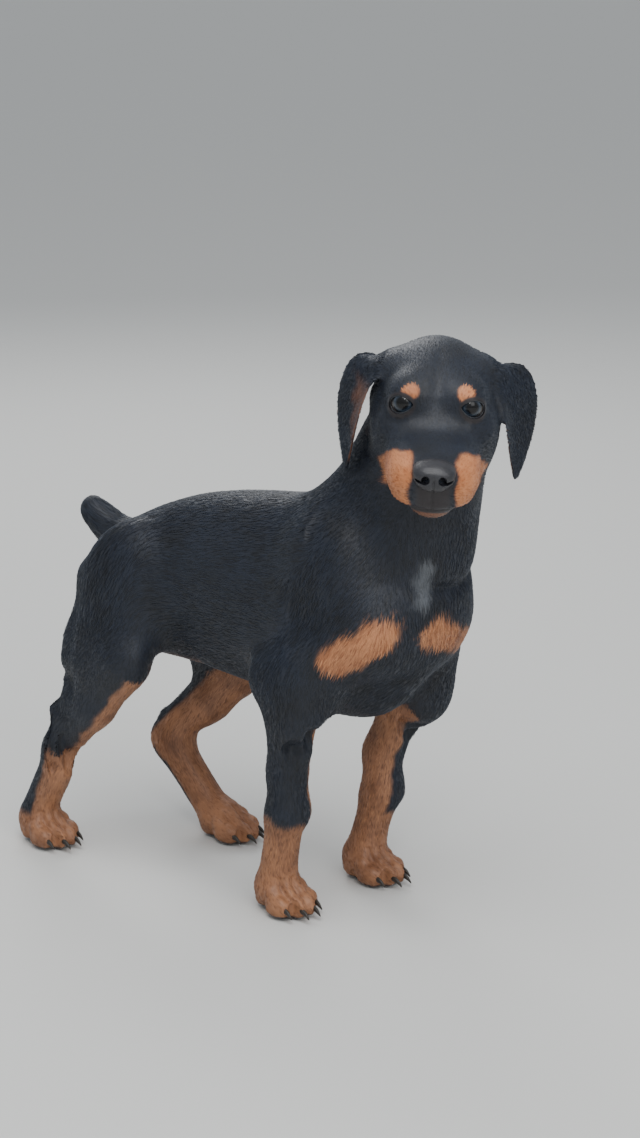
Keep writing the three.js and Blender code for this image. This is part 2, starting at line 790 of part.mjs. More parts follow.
const foreCuts = FORELEGS.map((leg) => {
  const centre = [leg.elbow[0] + 6, 35 * leg.side, 180];
  return cutArches(centre, [0, 0.93 * leg.side, -0.37], [52, 260, 120]);
});
const hindCuts = HIND_LEGS.map((leg) => {
  const centre = [leg.hip[0] - 6, 26 * leg.side, 192];
  return cutArches(centre, [0, 0.9 * leg.side, -0.44], [64, 260, 150]);
});
const neckCut = cutBlocks([96, 0, 284], [0.42, -0.05, 0.9], [190, 240, 220]);
const tailCut = cutBlocks([-152, 0, 257], [-0.76, 0, 0.64], [80, 80, 80]);
const headCut = { keep: headRoom(-GAP / 2), clear: headRoom(GAP / 2) };

// Torso
let torsoSolid = solidOf(meshOf(body, [-200, -96, 120], [180, 96, 345], TORSO_FACET));
for (const cut of [...foreCuts, ...hindCuts, neckCut, tailCut]) torsoSolid = torsoSolid.subtract(cut.clear);
addNode("torso", largestOf(torsoSolid), "coat");

// Neck
const neckSolid = solidOf(meshOf(body, [10, -130, 250], [250, 110, 440], NECK_FACET));
addNode("neck", largestOf(neckSolid.intersect(neckCut.keep).subtract(headCut.clear)), "coat");

// Tail
const tailSolid = solidOf(meshOf(body, [-215, -40, 225], [-110, 40, 335], TAIL_FACET));
addNode("tail", largestOf(tailSolid.intersect(tailCut.keep)), "coat");

// Head, parted from the lower jaw along the mouth line
const nose = inHeadFrame(noseShape());
const pad = inHeadFrame(nosePad());
const [headLow, headHigh] = roomRound([headPoint(-40, 0, 0), headPoint(20, 0, -20), headPoint(90, 0, -20)], 66);
let headSolid = solidOf(meshOf(body, headLow, headHigh, HEAD_FACET)).intersect(headCut.keep);
const [noseLow, noseHigh] = roomRound([headPoint(94, 0, -15)], 22);
headSolid = headSolid.subtract(solidOf(meshOf((x, y, z) => pad(x, y, z) - 0.5, noseLow, noseHigh, NOSE_FACET)));
for (const side of [RIGHT, LEFT]) {
  headSolid = headSolid.subtract(eyeball(side, EYE_RADIUS + GAP)).subtract(lidOpening(side));
}
const headHalves = headSolid
  .subtract(mouthBlade())
  .decompose()
  .sort((a, b) => b.volume() - a.volume());
addNode("head", headHalves[0], "coat");
addNode("lower_jaw", headHalves[1], "tan");
addNode("nose", largestOf(solidOf(meshOf(nose, noseLow, noseHigh, NOSE_FACET))), "nose");

for (const ear of EARS) {
  addNode(`${ear.name}_eye`, eyeball(ear.side, EYE_RADIUS), "eye");
  const [earLow, earHigh] = roomRound([headPoint(-10, 40 * ear.side, 16), headPoint(-4, 56 * ear.side, -24)], 46);
  const skin = solidOf(meshOf((x, y, z) => body(x, y, z) - 0.7, earLow, earHigh, HEAD_FACET));
  addNode(`${ear.name}_ear`, largestOf(solidOf(earGeometry(ear)).subtract(skin)), "coat");
}

// Legs, each in three lengths
function addLeg(leg, bodyCut, joints, names) {
  const [top, middle, ankle] = joints;
  const foot = pawPoint(leg, 0, 0, 10);
  const middleCut = cutBlocks(middle, bend(top, middle, ankle), LIMB_BLOCK);
  const ankleCut = cutBlocks(ankle, bend(middle, ankle, foot), LIMB_BLOCK);
  const [low, high] = roomRound([top, middle, ankle], 62);
  const limb = solidOf(meshOf(body, low, high, LIMB_FACET)).intersect(bodyCut.keep.add(UNDER_BELLY));
  addNode(names[0], largestOf(limb.subtract(middleCut.clear)), "coat");
  addNode(names[1], largestOf(limb.intersect(middleCut.keep).subtract(ankleCut.clear)), "coat");

  const [footLow, footHigh] = roomRound([ankle, foot, pawPoint(leg, 32, 0, 0)], 26);
  let paw = solidOf(meshOf(body, [footLow[0], footLow[1], -8], footHigh, PAW_FACET)).intersect(ankleCut.keep);
  for (const toe of TOES) paw = paw.add(solidOf(clawGeometry(leg, toe)));
  addNode(names[2], largestOf(paw.subtract(FLOOR_BLOCK)), "tan");
}

FORELEGS.forEach((leg, n) => {
  const top = [leg.elbow[0] + 14, leg.elbow[1], leg.elbow[2] + 60];
  const elbow = between(leg.elbow, leg.wrist, 0.22);
  addLeg(leg, foreCuts[n], [top, elbow, leg.wrist], [
    `${leg.name}_shoulder`,
    `${leg.name}_forearm`,
    `${leg.name}_front_paw`,
  ]);
});

HIND_LEGS.forEach((leg, n) => {
  const knee = between(leg.knee, leg.hock, 0.16);
  addLeg(leg, hindCuts[n], [leg.hip, knee, between(leg.hock, pawPoint(leg, 0, 0, 10), 0.12)], [
    `${leg.name}_thigh`,
    `${leg.name}_lower_leg`,
    `${leg.name}_hind_foot`,
  ]);
});

// The origin is on the floor, under the middle of the puppy
const box = new THREE.Box3().setFromObject(puppy);
const middle = box.getCenter(new THREE.Vector3());
for (const mesh of puppy.children) mesh.position.set(-middle.x, -middle.y, -box.min.z);

export default puppy;
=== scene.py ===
import math

import bpy
import numpy as np
from mathutils import Euler, Matrix, Vector
from mathutils.bvhtree import BVHTree


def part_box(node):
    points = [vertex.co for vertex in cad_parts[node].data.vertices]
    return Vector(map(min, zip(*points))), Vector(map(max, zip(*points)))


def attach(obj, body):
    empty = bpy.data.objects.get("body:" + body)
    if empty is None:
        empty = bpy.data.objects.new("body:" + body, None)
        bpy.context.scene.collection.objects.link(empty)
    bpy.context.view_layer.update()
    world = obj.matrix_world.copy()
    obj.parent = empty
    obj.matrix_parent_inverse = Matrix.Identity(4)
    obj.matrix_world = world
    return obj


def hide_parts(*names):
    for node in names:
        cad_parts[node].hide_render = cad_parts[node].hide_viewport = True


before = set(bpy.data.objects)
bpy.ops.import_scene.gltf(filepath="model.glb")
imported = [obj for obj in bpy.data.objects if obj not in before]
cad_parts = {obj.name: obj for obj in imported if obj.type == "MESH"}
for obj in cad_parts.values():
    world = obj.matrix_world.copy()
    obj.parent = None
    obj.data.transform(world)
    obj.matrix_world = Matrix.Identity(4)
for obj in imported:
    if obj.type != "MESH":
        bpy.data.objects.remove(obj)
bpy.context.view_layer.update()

# Camera and studio
# The camera stands about 1.8 m off at a grown person's hip height and looks down at the puppy.
# Round it is a plain pale room, lit softly from above, with a low light behind that rims the coat.
MM = 0.001
HEAD_CENTRE = Vector((151, -4, 390))
HEAD_TURN = Euler((math.radians(-3.5), math.radians(12.5), math.radians(-56)), "XYZ").to_matrix()
EYE_FORWARD, EYE_ASIDE, EYE_UP = 28.5, 21.5, 9.0


def node_middle(name):
    low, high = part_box(name)
    return (low + high) / 2


# The model's own millimetres have their zero near the middle of the back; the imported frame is
# centred under the bounding box, and the eyes give the step from one to the other.
EYES_MIDDLE = HEAD_CENTRE + HEAD_TURN @ Vector((EYE_FORWARD, 0, EYE_UP))
SHIFT = (node_middle("right_eye") + node_middle("left_eye")) / 2 - EYES_MIDDLE * MM


def place(x, y, z):
    return Vector((x, y, z)) * MM + SHIFT


def linear(colour):
    """The linear values of an sRGB hex colour."""
    parts = [int(colour[n : n + 2], 16) / 255 for n in (1, 3, 5)]
    return [c / 12.92 if c <= 0.04045 else ((c + 0.055) / 1.055) ** 2.4 for c in parts] + [1.0]


def add_node(material, kind, settings=(), inputs=()):
    """Adds a shader node; an input is a value, or the socket that it is linked from."""
    made = material.node_tree.nodes.new(kind)
    for name, value in dict(settings).items():
        setattr(made, name, value)
    for name, value in dict(inputs).items():
        if isinstance(value, bpy.types.NodeSocket):
            material.node_tree.links.new(value, made.inputs[name])
        else:
            made.inputs[name].default_value = value
    return made


def new_material(name):
    """A material with an empty shader tree but for its output."""
    material = bpy.data.materials.new(name)
    material.use_nodes = True
    material.node_tree.nodes.clear()
    material.node_tree.nodes.new("ShaderNodeOutputMaterial")
    return material


def finish_material(material, shader):
    output = material.node_tree.nodes["Material Output"]
    material.node_tree.links.new(shader.outputs[0], output.inputs["Surface"])
    return material


def dress(piece, material):
    piece.data.materials.clear()
    piece.data.materials.append(material)


CAMERA_PLACE = place(1067.2, -1365.1, 687.2)
CAMERA_HEADING = math.radians(36.759)
CAMERA_TILT = math.radians(-14.328)
CAMERA_ROLL = math.radians(-0.008)
FRAME_HEIGHT_OVER_FOCAL = 1138 / 2400
SENSOR = 36.0

camera = bpy.data.objects.new("Camera", bpy.data.cameras.new("Camera"))
bpy.context.scene.collection.objects.link(camera)
camera.data.sensor_width = SENSOR
camera.data.lens = SENSOR / FRAME_HEIGHT_OVER_FOCAL
camera.rotation_euler = Euler((math.pi / 2 + CAMERA_TILT, CAMERA_ROLL, CAMERA_HEADING), "XYZ")
camera.location = CAMERA_PLACE
bpy.context.scene.camera = camera

# Matt painted studio floor: pale, with no gloss, so it shows only the puppy's soft shadow.
studio_floor = new_material("Matt studio floor paint")
floor_shade = add_node(
    studio_floor,
    "ShaderNodeBsdfPrincipled",
    inputs={"Base Color": linear("#d6d6d3"), "Roughness": 0.95, "Specular IOR Level": 0.1},
)
finish_material(studio_floor, floor_shade)
bpy.ops.object.select_all(action="DESELECT")
bpy.ops.mesh.primitive_plane_add(size=160, location=(0, 0, 0))
floor = bpy.context.active_object
floor.name = "studio_floor"
dress(floor, studio_floor)

world = bpy.data.worlds.new("Studio")
world.use_nodes = True
world.node_tree.nodes["Background"].inputs["Color"].default_value = linear("#dfe3e8")
world.node_tree.nodes["Background"].inputs["Strength"].default_value = 0.75
bpy.context.scene.world = world

STUDIO_LIGHTS = [
    # name, place, watts, width of the soft box
    ("overhead", (0.6, -0.8, 2.6), 44, 1.9),
    ("beside_camera", (2.2, -0.9, 1.5), 16, 1.4),
    ("rim", (-1.5, 1.4, 1.7), 18, 1.0),
    ("eye_light", (0.95, -1.15, 1.45), 5, 0.34),
]
for name, spot, watts, width in STUDIO_LIGHTS:
    lamp = bpy.data.objects.new(name, bpy.data.lights.new(name, "AREA"))
    lamp.data.energy = watts
    lamp.data.size = width
    lamp.location = spot
    lamp.rotation_euler = (Vector((0, 0, 0.22)) - Vector(spot)).to_track_quat("-Z", "Y").to_euler()
    bpy.context.scene.collection.objects.link(lamp)

# Hide and flesh
# One skin covers the puppy from the lips to the toes, with no seam where the solids part. It is
# the flesh solids run together, firmed up at the lids, ear roots and toes, and smoothed. It lies
# under the solids' surface by the depth of the coat.
RIGHT, LEFT = -1, 1
FLESH = sorted(set(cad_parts) - {"right_eye", "left_eye", "nose"})
EARS = ["right_ear", "left_ear"]
SKIN_GRAIN = 1.3 * MM
SKIN_TRIANGLES = 186000
COAT_DEPTH = 1.0 * MM
SAME_CORNER = 0.02 * MM
JOINT_SWELL = 0.55 * MM  # the solids swell by this much, which closes the thin cuts between them
EYE_RADIUS = 10.2
# The mouth line seen from the side, forward and up in the head, from the lip to behind the jaw
MOUTH_LINE = [(112, -42), (92, -42), (72, -44.5), (54, -42.5), (42, -38), (33, -45), (26, -58)]
PAWS = [
    # name, x, y, yaw in degrees
    ("right_front", 41, -45, -12),
    ("left_front", 57, 44, -6),
    ("right_hind", -197, -46, -8),
    ("left_hind", -88, 48, -3),
]
TOES = [
    # along the paw, across it, radius
    (17, -14, 8.2),
    (25, -5.2, 8.8),
    (25, 5.2, 8.8),
    (17, 14, 8.2),
]

FORELEGS = [
    # side, elbow, wrist, paw, height where the tan starts all round
    (RIGHT, (64, -57, 178), (53, -49, 84), (41, -45, 12), 75),
    (LEFT, (96, 52, 174), (68, 50, 76), (57, 44, 12), 61),
]
HIND_LEGS = [
    # side, hip, knee, hock, ankle, toes
    (RIGHT, (-102, -40, 230), (-91, -58, 170), (-167, -51, 86), (-195, -46, 22), (-175, -48, 10)),
    (LEFT, (-102, 40, 228), (-68, 60, 144), (-141, 50, 74), (-96, 48, 22), (-62, 47, 10)),
]


def only(*objects):
    """Selects these objects alone, the first of them active."""
    bpy.ops.object.select_all(action="DESELECT")
    for thing in objects:
        thing.select_set(True)
    bpy.context.view_layer.objects.active = objects[0]


def apply_modifiers(piece):
    only(piece)
    for modifier in list(piece.modifiers):
        bpy.ops.object.modifier_apply(modifier=modifier.name)


def copy_of(node, name):
    """A new object with the node's mesh, its loose triangles merged."""
    piece = bpy.data.objects.new(name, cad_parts[node].data.copy())
    bpy.context.scene.collection.objects.link(piece)
    only(piece)
    bpy.ops.object.mode_set(mode="EDIT")
    bpy.ops.mesh.select_all(action="SELECT")
    bpy.ops.mesh.remove_doubles(threshold=SAME_CORNER)
    bpy.ops.object.mode_set(mode="OBJECT")
    return piece


def face_outwards(piece):
    only(piece)
    bpy.ops.object.mode_set(mode="EDIT")
    bpy.ops.mesh.select_all(action="SELECT")
    bpy.ops.mesh.normals_make_consistent(inside=False)
    bpy.ops.object.mode_set(mode="OBJECT")


def in_head(u, v, w):
    """A place in the head's own directions: forward, to its left, up."""
    return (HEAD_CENTRE + HEAD_TURN @ Vector((u, v, w))) * MM + SHIFT


def clay(radii, middle, turn=None):
    """A rounded lump of the given radii in millimetres, centred on a place in metres."""
    bpy.ops.object.select_all(action="DESELECT")
    bpy.ops.mesh.primitive_uv_sphere_add(segments=28, ring_count=16, radius=1)
    lump = bpy.context.active_object
    shape = (turn or Matrix.Identity(3)) @ Matrix.Diagonal(Vector(radii) * MM)
    lump.data.transform(Matrix.Translation(middle) @ shape.to_4x4())
    return lump


def paw_place(paw, along, across, up):
    swing = math.radians(paw[3])
    return place(
        paw[1] + along * math.cos(swing) - across * math.sin(swing),
        paw[2] + along * math.sin(swing) + across * math.cos(swing),
        up,
    )


def cut_out(piece, cutter, name):
    """Takes the cutter's shape out of the piece, and the cutter out of the scene."""
    opening = piece.modifiers.new(name, "BOOLEAN")
    opening.operation = "DIFFERENCE"
    opening.solver = "MANIFOLD"
    opening.object = cutter
    apply_modifiers(piece)
    bpy.data.objects.remove(cutter)


def points_of(piece):
    flat = np.empty(len(piece.data.vertices) * 3)
    piece.data.vertices.foreach_get("co", flat)
    return flat.reshape(-1, 3)


def normals_of(piece):
    flat = np.empty(len(piece.data.vertices) * 3, dtype=np.float32)
    piece.data.vertex_normals.foreach_get("vector", flat)
    return flat.reshape(-1, 3).astype(float)


def set_points(piece, points):
    piece.data.vertices.foreach_set("co", points.ravel())
    piece.data.update()


def model_mm(points):
    """Metres of the frame as the model's own millimetres."""
    return (points - np.array(SHIFT)) / MM


def head_mm(model):
    """The model's millimetres as forward, left and up of the head."""
    return (model - np.array(HEAD_CENTRE)) @ np.array(HEAD_TURN)


def ramp(values, start, end):
    """0 before start, 1 past end, and a soft step between them."""
    t = np.clip((values - start) / (end - start), 0, 1)
    return t * t * (3 - 2 * t)


def swell_of(distance, width):
    return np.exp(-((distance / width) ** 2))


def add_group(piece, name, weights):
    group = piece.vertex_groups.new(name=name)
    rounded = np.round(weights, 1)
    for level in np.unique(rounded):
        if level > 0:
            group.add(np.flatnonzero(rounded == level).tolist(), float(level), "REPLACE")
    return name


lumps = []
for node in FLESH + ["right_eye", "left_eye", "nose"]:
    lump = copy_of(node, "flesh_" + node)
    if node in EARS:
        round_off = lump.modifiers.new("Round off", "SUBSURF")
        round_off.levels = round_off.render_levels = 2
    swell = lump.modifiers.new("Swell", "DISPLACE")
    swell.mid_level = 0
    swell.strength = JOINT_SWELL
    apply_modifiers(lump)
    lumps.append(lump)

for side in (RIGHT, LEFT):
    # Lids round the eyeball, gristle at the ear's root, and the hanging upper lip
    lumps.append(clay((13.0, 13.6, 12.8), in_head(EYE_FORWARD, EYE_ASIDE * side, EYE_UP), HEAD_TURN))
    lumps.append(clay((17, 11, 9), in_head(-12, 38 * side, 17), HEAD_TURN))
    lumps.append(clay((24, 9.5, 11), in_head(72, 17.5 * side, -31), HEAD_TURN))
for paw in PAWS:
    turn = Matrix.Rotation(math.radians(paw[3]), 3, "Z")
    for along, across, radius in TOES:
        toe = (radius * 1.42, radius * 0.8, radius * 1.12)
        knuckle = (radius * 0.85, radius * 0.7, radius * 0.8)
        lumps.append(clay(toe, paw_place(paw, along, across, 9.6), turn))
        lumps.append(clay(knuckle, paw_place(paw, along - 7, across * 0.96, 17), turn))

# Muscle and gristle inside each joint carry the flesh across the cuts
for side, elbow, wrist, paw, tan_height in FORELEGS:
    lumps.append(clay((17, 13, 18), place(elbow[0] + 8, elbow[1], elbow[2] - 10)))
    lumps.append(clay((13, 12, 14), place(wrist[0] + 1, wrist[1], wrist[2])))
    lumps.append(clay((34, 15, 36), place(elbow[0] + 4, elbow[1] * 0.9, elbow[2] + 44)))
for side, hip, knee, hock, ankle, toes in HIND_LEGS:
    lumps.append(clay((20, 15, 22), place(knee[0] - 6, knee[1], knee[2] + 2)))
    lumps.append(clay((15, 12, 14), place(hock[0] + 2, hock[1], hock[2] - 2)))
    lumps.append(clay((9, 8.5, 15), place(hock[0] - 4, hock[1], hock[2] + 10)))
    # The tendon runs down behind the shank, from the back of the thigh to the point of the hock
    for share in np.linspace(0.1, 0.8, 12).tolist():
        thick = float(np.interp(share, [0.1, 0.35, 0.8], [14, 10, 8]))
        spot = Vector(knee).lerp(Vector(hock), share) + Vector((-20 + 5 * share, 0, 2))
        lumps.append(clay((thick, thick * 0.8, thick), place(*spot)))
    lumps.append(clay((36, 19, 38), place(hip[0] - 4, hip[1] * 0.85, hip[2] + 4)))
# One lump where the neck leaves the chest, and one where the skull sits on the neck
lumps.append(clay((34, 30, 34), place(112, -1, 296)))
lumps.append(clay((24, 24, 24), in_head(-34, 0, -14), HEAD_TURN))

only(*lumps)
bpy.ops.object.join()
joined = lumps[0]
run_together = joined.modifiers.new("Run together", "REMESH")
run_together.mode = "VOXEL"
run_together.voxel_size = SKIN_GRAIN
apply_modifiers(joined)

# Small pockets sealed inside by the joining go, and the outside stays
only(joined)
bpy.ops.mesh.separate(type="LOOSE")
shells = sorted(bpy.context.selected_objects, key=lambda shell: len(shell.data.vertices))
skin = shells.pop()
for shell in shells:
    bpy.data.objects.remove(shell)
skin.name = "skin"

# The claws are pieces of their own, so the skin draws back from them to the ends of the toes
points = points_of(skin)
for paw in PAWS:
    swing = math.radians(paw[3])
    forward = np.array([math.cos(swing), math.sin(swing), 0])
    aside = np.array([-math.sin(swing), math.cos(swing), 0])
    from_paw = points - np.array(paw_place(paw, 0, 0, 0))
    along_paw, across_paw = from_paw @ forward / MM, from_paw @ aside / MM
    for along, across, radius in TOES:
        toe_end = along + radius * 1.46
        beyond = (np.abs(across_paw - across) < radius * 0.75) & (along_paw > toe_end)
        beyond &= along_paw < toe_end + 16
        points[beyond] -= forward * ((along_paw[beyond] - toe_end) * MM)[:, None]
set_points(skin, points)

# The facets are smoothed away: most on the trunk, less on the face, least on ears and toes
head_place = head_mm(model_mm(points))
from_ear = np.minimum(
    np.linalg.norm(head_place - [-4, -58, -18], axis=1), np.linalg.norm(head_place - [-4, 58, -18], axis=1)
)
on_head = 1 - ramp(np.linalg.norm(head_place - [20, 0, 0], axis=1), 78, 100)
on_ear = (1 - ramp(from_ear, 40, 48)) * ramp(np.abs(head_place[:, 1]), 44, 49)
on_paw = 1 - ramp(model_mm(points)[:, 2], 22, 42)
on_body = (1 - on_head) * ramp(model_mm(points)[:, 2], 165, 215)
on_tail = 1 - ramp(np.linalg.norm(model_mm(points) - [-165, -2, 262], axis=1), 22, 34)
for name, weights, rounds in (
    ("body", on_body * (1 - on_tail), 130),
    ("trunk", (1 - on_head) * (1 - on_paw), 40),
    ("face", on_head * (1 - on_ear), 12),
    ("all", np.ones(len(points)), 4),
):
    soften = skin.modifiers.new("Soften " + name, "SMOOTH")
    soften.vertex_group = add_group(skin, name, weights)
    soften.factor = 0.5
    soften.iterations = rounds
apply_modifiers(skin)


def from_line(u, w, line):
    """Distance from a line of (forward, up) places, and on which side: above it is more than 0."""
    best, above = np.full(len(u), 1e9), np.zeros(len(u))
    for (u0, w0), (u1, w1) in zip(line, line[1:]):
        du, dw = u1 - u0, w1 - w0
        t = np.clip(((u - u0) * du + (w - w0) * dw) / (du * du + dw * dw), 0, 1)
        off_u, off_w = u - u0 - t * du, w - w0 - t * dw
        gap = np.hypot(off_u, off_w)
        nearer = gap < best
        best[nearer] = gap[nearer]
        above[nearer] = np.sign(du * off_w - dw * off_u)[nearer] * -1.0
    return best, above


# Modelling: lips that overhang the jaw, the groove under the nose, brows and cheeks
points, normals = points_of(skin), normals_of(skin)
head_place = head_mm(model_mm(points))
u, v, w = head_place.T
aside = np.abs(v)
gap, above = from_line(u, w, MOUTH_LINE)
lips = ramp(u, 28, 42) * (gap < 14) * (w > -62) * (aside < 36)
model_z = model_mm(points)[:, 2]
relief = -1.5 * swell_of(gap, 1.5) * lips
relief += np.where(above > 0, 1.3 * swell_of(gap - 4.6, 3.0), -1.2 * swell_of(gap - 3.6, 3.0)) * lips
relief -= 1.1 * swell_of(aside, 1.3) * ramp(u, 86, 94) * ramp(-w, 20, 24) * (1 - ramp(-w, 36, 40))
relief -= 0.9 * swell_of(aside, 4.5) * ramp(w, 4, 14) * ramp(u, -10, 10) * (1 - ramp(u, 46, 56))
from_brow = np.linalg.norm(head_place * [1, 0, 1] - [36, 0, 21], axis=1)
relief += 0.5 * swell_of(from_brow, 7) * swell_of(aside - 19, 8)
from_cheek = np.linalg.norm(head_place * [1, 0, 1] - [50, 0, -9], axis=1)
relief -= 1.0 * swell_of(from_cheek, 8) * swell_of(aside - 22, 9)
for paw in PAWS:
    swing = math.radians(paw[3])
    from_paw = model_mm(points) - model_mm(np.array(paw_place(paw, 0, 0, 0)))
    along_paw = from_paw[:, 0] * math.cos(swing) + from_paw[:, 1] * math.sin(swing)
    across_paw = from_paw[:, 1] * math.cos(swing) - from_paw[:, 0] * math.sin(swing)
    toes_here = ramp(along_paw, 6, 16) * (along_paw < 45) * (np.abs(across_paw) < 24) * (model_z < 30)
    for between_toes in (-10.2, 0, 10.2):
        relief -= 1.7 * swell_of(across_paw - between_toes, 1.7) * toes_here
    for joint in (10, 24):
        relief += 0.5 * swell_of(along_paw - joint, 3.5) * toes_here * (model_z > 12)
inset = JOINT_SWELL + COAT_DEPTH * (1 - on_ear) * (1 - 0.6 * on_paw)
set_points(skin, points + normals * (relief * MM - inset)[:, None])

thin_out = skin.modifiers.new("Thin out", "DECIMATE")
thin_out.vertex_group = "trunk"
thin_out.vertex_group_factor = 1.0
thin_out.ratio = SKIN_TRIANGLES / sum(len(face.vertices) - 2 for face in skin.data.polygons)
apply_modifiers(skin)

# The lids part in an almond, its inner corner drawn towards the nose
LID_HALF_WIDTH, UPPER_LID, LOWER_LID = 9.0, 7.4, 5.8
EYE_OUTWARD, EYE_SLANT = 26, -19


def eye_turn(side):
    outward = Matrix.Rotation(math.radians(EYE_OUTWARD * side), 3, "Z")
    return HEAD_TURN @ outward @ Matrix.Rotation(math.radians(EYE_SLANT * side), 3, "X")


def almond(angle, side):
    """Across and up of the lid's edge, seen along the eye; it is pointed at both corners."""
    rise = np.sin(angle) * np.abs(np.sin(angle)) ** 0.15
    across = LID_HALF_WIDTH * np.cos(angle)
    towards_nose = np.clip(-np.cos(angle) * side, 0, 1)
    up = np.where(rise > 0, UPPER_LID, LOWER_LID) * rise - 0.9 * towards_nose**3
    return across * (1 + 0.08 * towards_nose**4), up


def in_eye(local, side):
    """Places out along the eye, across it and up, in millimetres, as metres of the frame."""
    middle = np.array(in_head(EYE_FORWARD, EYE_ASIDE * side, EYE_UP))
    return middle + local @ np.array(eye_turn(side)).T * MM


def from_eye(points, side):
    """Metres of the frame as millimetres out along the eye, across it and up."""
    middle = np.array(in_head(EYE_FORWARD, EYE_ASIDE * side, EYE_UP))
    return (points - middle) / MM @ np.array(eye_turn(side))


for side in (RIGHT, LEFT):
    bpy.ops.object.select_all(action="DESELECT")
    bpy.ops.mesh.primitive_cylinder_add(vertices=72, radius=1, depth=2)
    cutter = bpy.context.active_object
    ring = points_of(cutter)
    across, up = almond(np.arctan2(ring[:, 1], ring[:, 0]), side)
    out = np.where(ring[:, 2] > 0, 26.0, 1.5)
    set_points(cutter, in_eye(np.stack([out, across, up], axis=1), side))
    face_outwards(cutter)
    cut_out(skin, cutter, "Part the lids")

skin.vertex_groups.clear()
only(skin)
bpy.ops.object.shade_smooth_by_angle(angle=math.radians(50))

# Markings
# Black over the top of the body, tan on the muzzle, brows, chest, legs and under the tail, as
# the breed has them. Under the chin the tan is darkened with black, which is painted shade.
# Skin and hair take the same markings from the one rule below.
MUZZLE_TAN_EDGE = (-50, 0.59)  # up in the head where the tan starts, and how it climbs forwards
BLACK_BRIDGE = 15.5
BROW_SPOT, BROW_SPOT_RADIUS = (37, 19, 20.5), 6.0
CHEST_PATCHES = [
    # start, end, radius
    ((110, -66, 209), (139, -50, 229), 12.5),
    ((158, -12, 225), (140, 42, 212), 12.5),
]
PALE_HAIRS = ((158, -26, 273), (157.5, -25, 251.6), 7.5)
UNDER_TAIL = ((-150, 0, 215), 14)


def along_bone(points, start, end):
    """How far along the bone each point is, from 0 to 1, and its offset from the bone."""
    start, end = np.array(start, float), np.array(end, float)
    run = end - start
    t = np.clip((points - start) @ run / (run @ run), 0, 1)
    return t, points - start - t[:, None] * run


def wobble(points):
    """A slow waver of about a millimetre, so that no edge between two colours is ruled."""
    x, y, z = points.T
    across_x = np.sin(x / 3.1 + 1.7 * np.sin(z / 5.3))
    across_y = np.sin(y / 2.7 + 1.3 * np.sin(x / 4.1))
    return across_x + across_y + np.sin(z / 2.9 + y / 6.7)


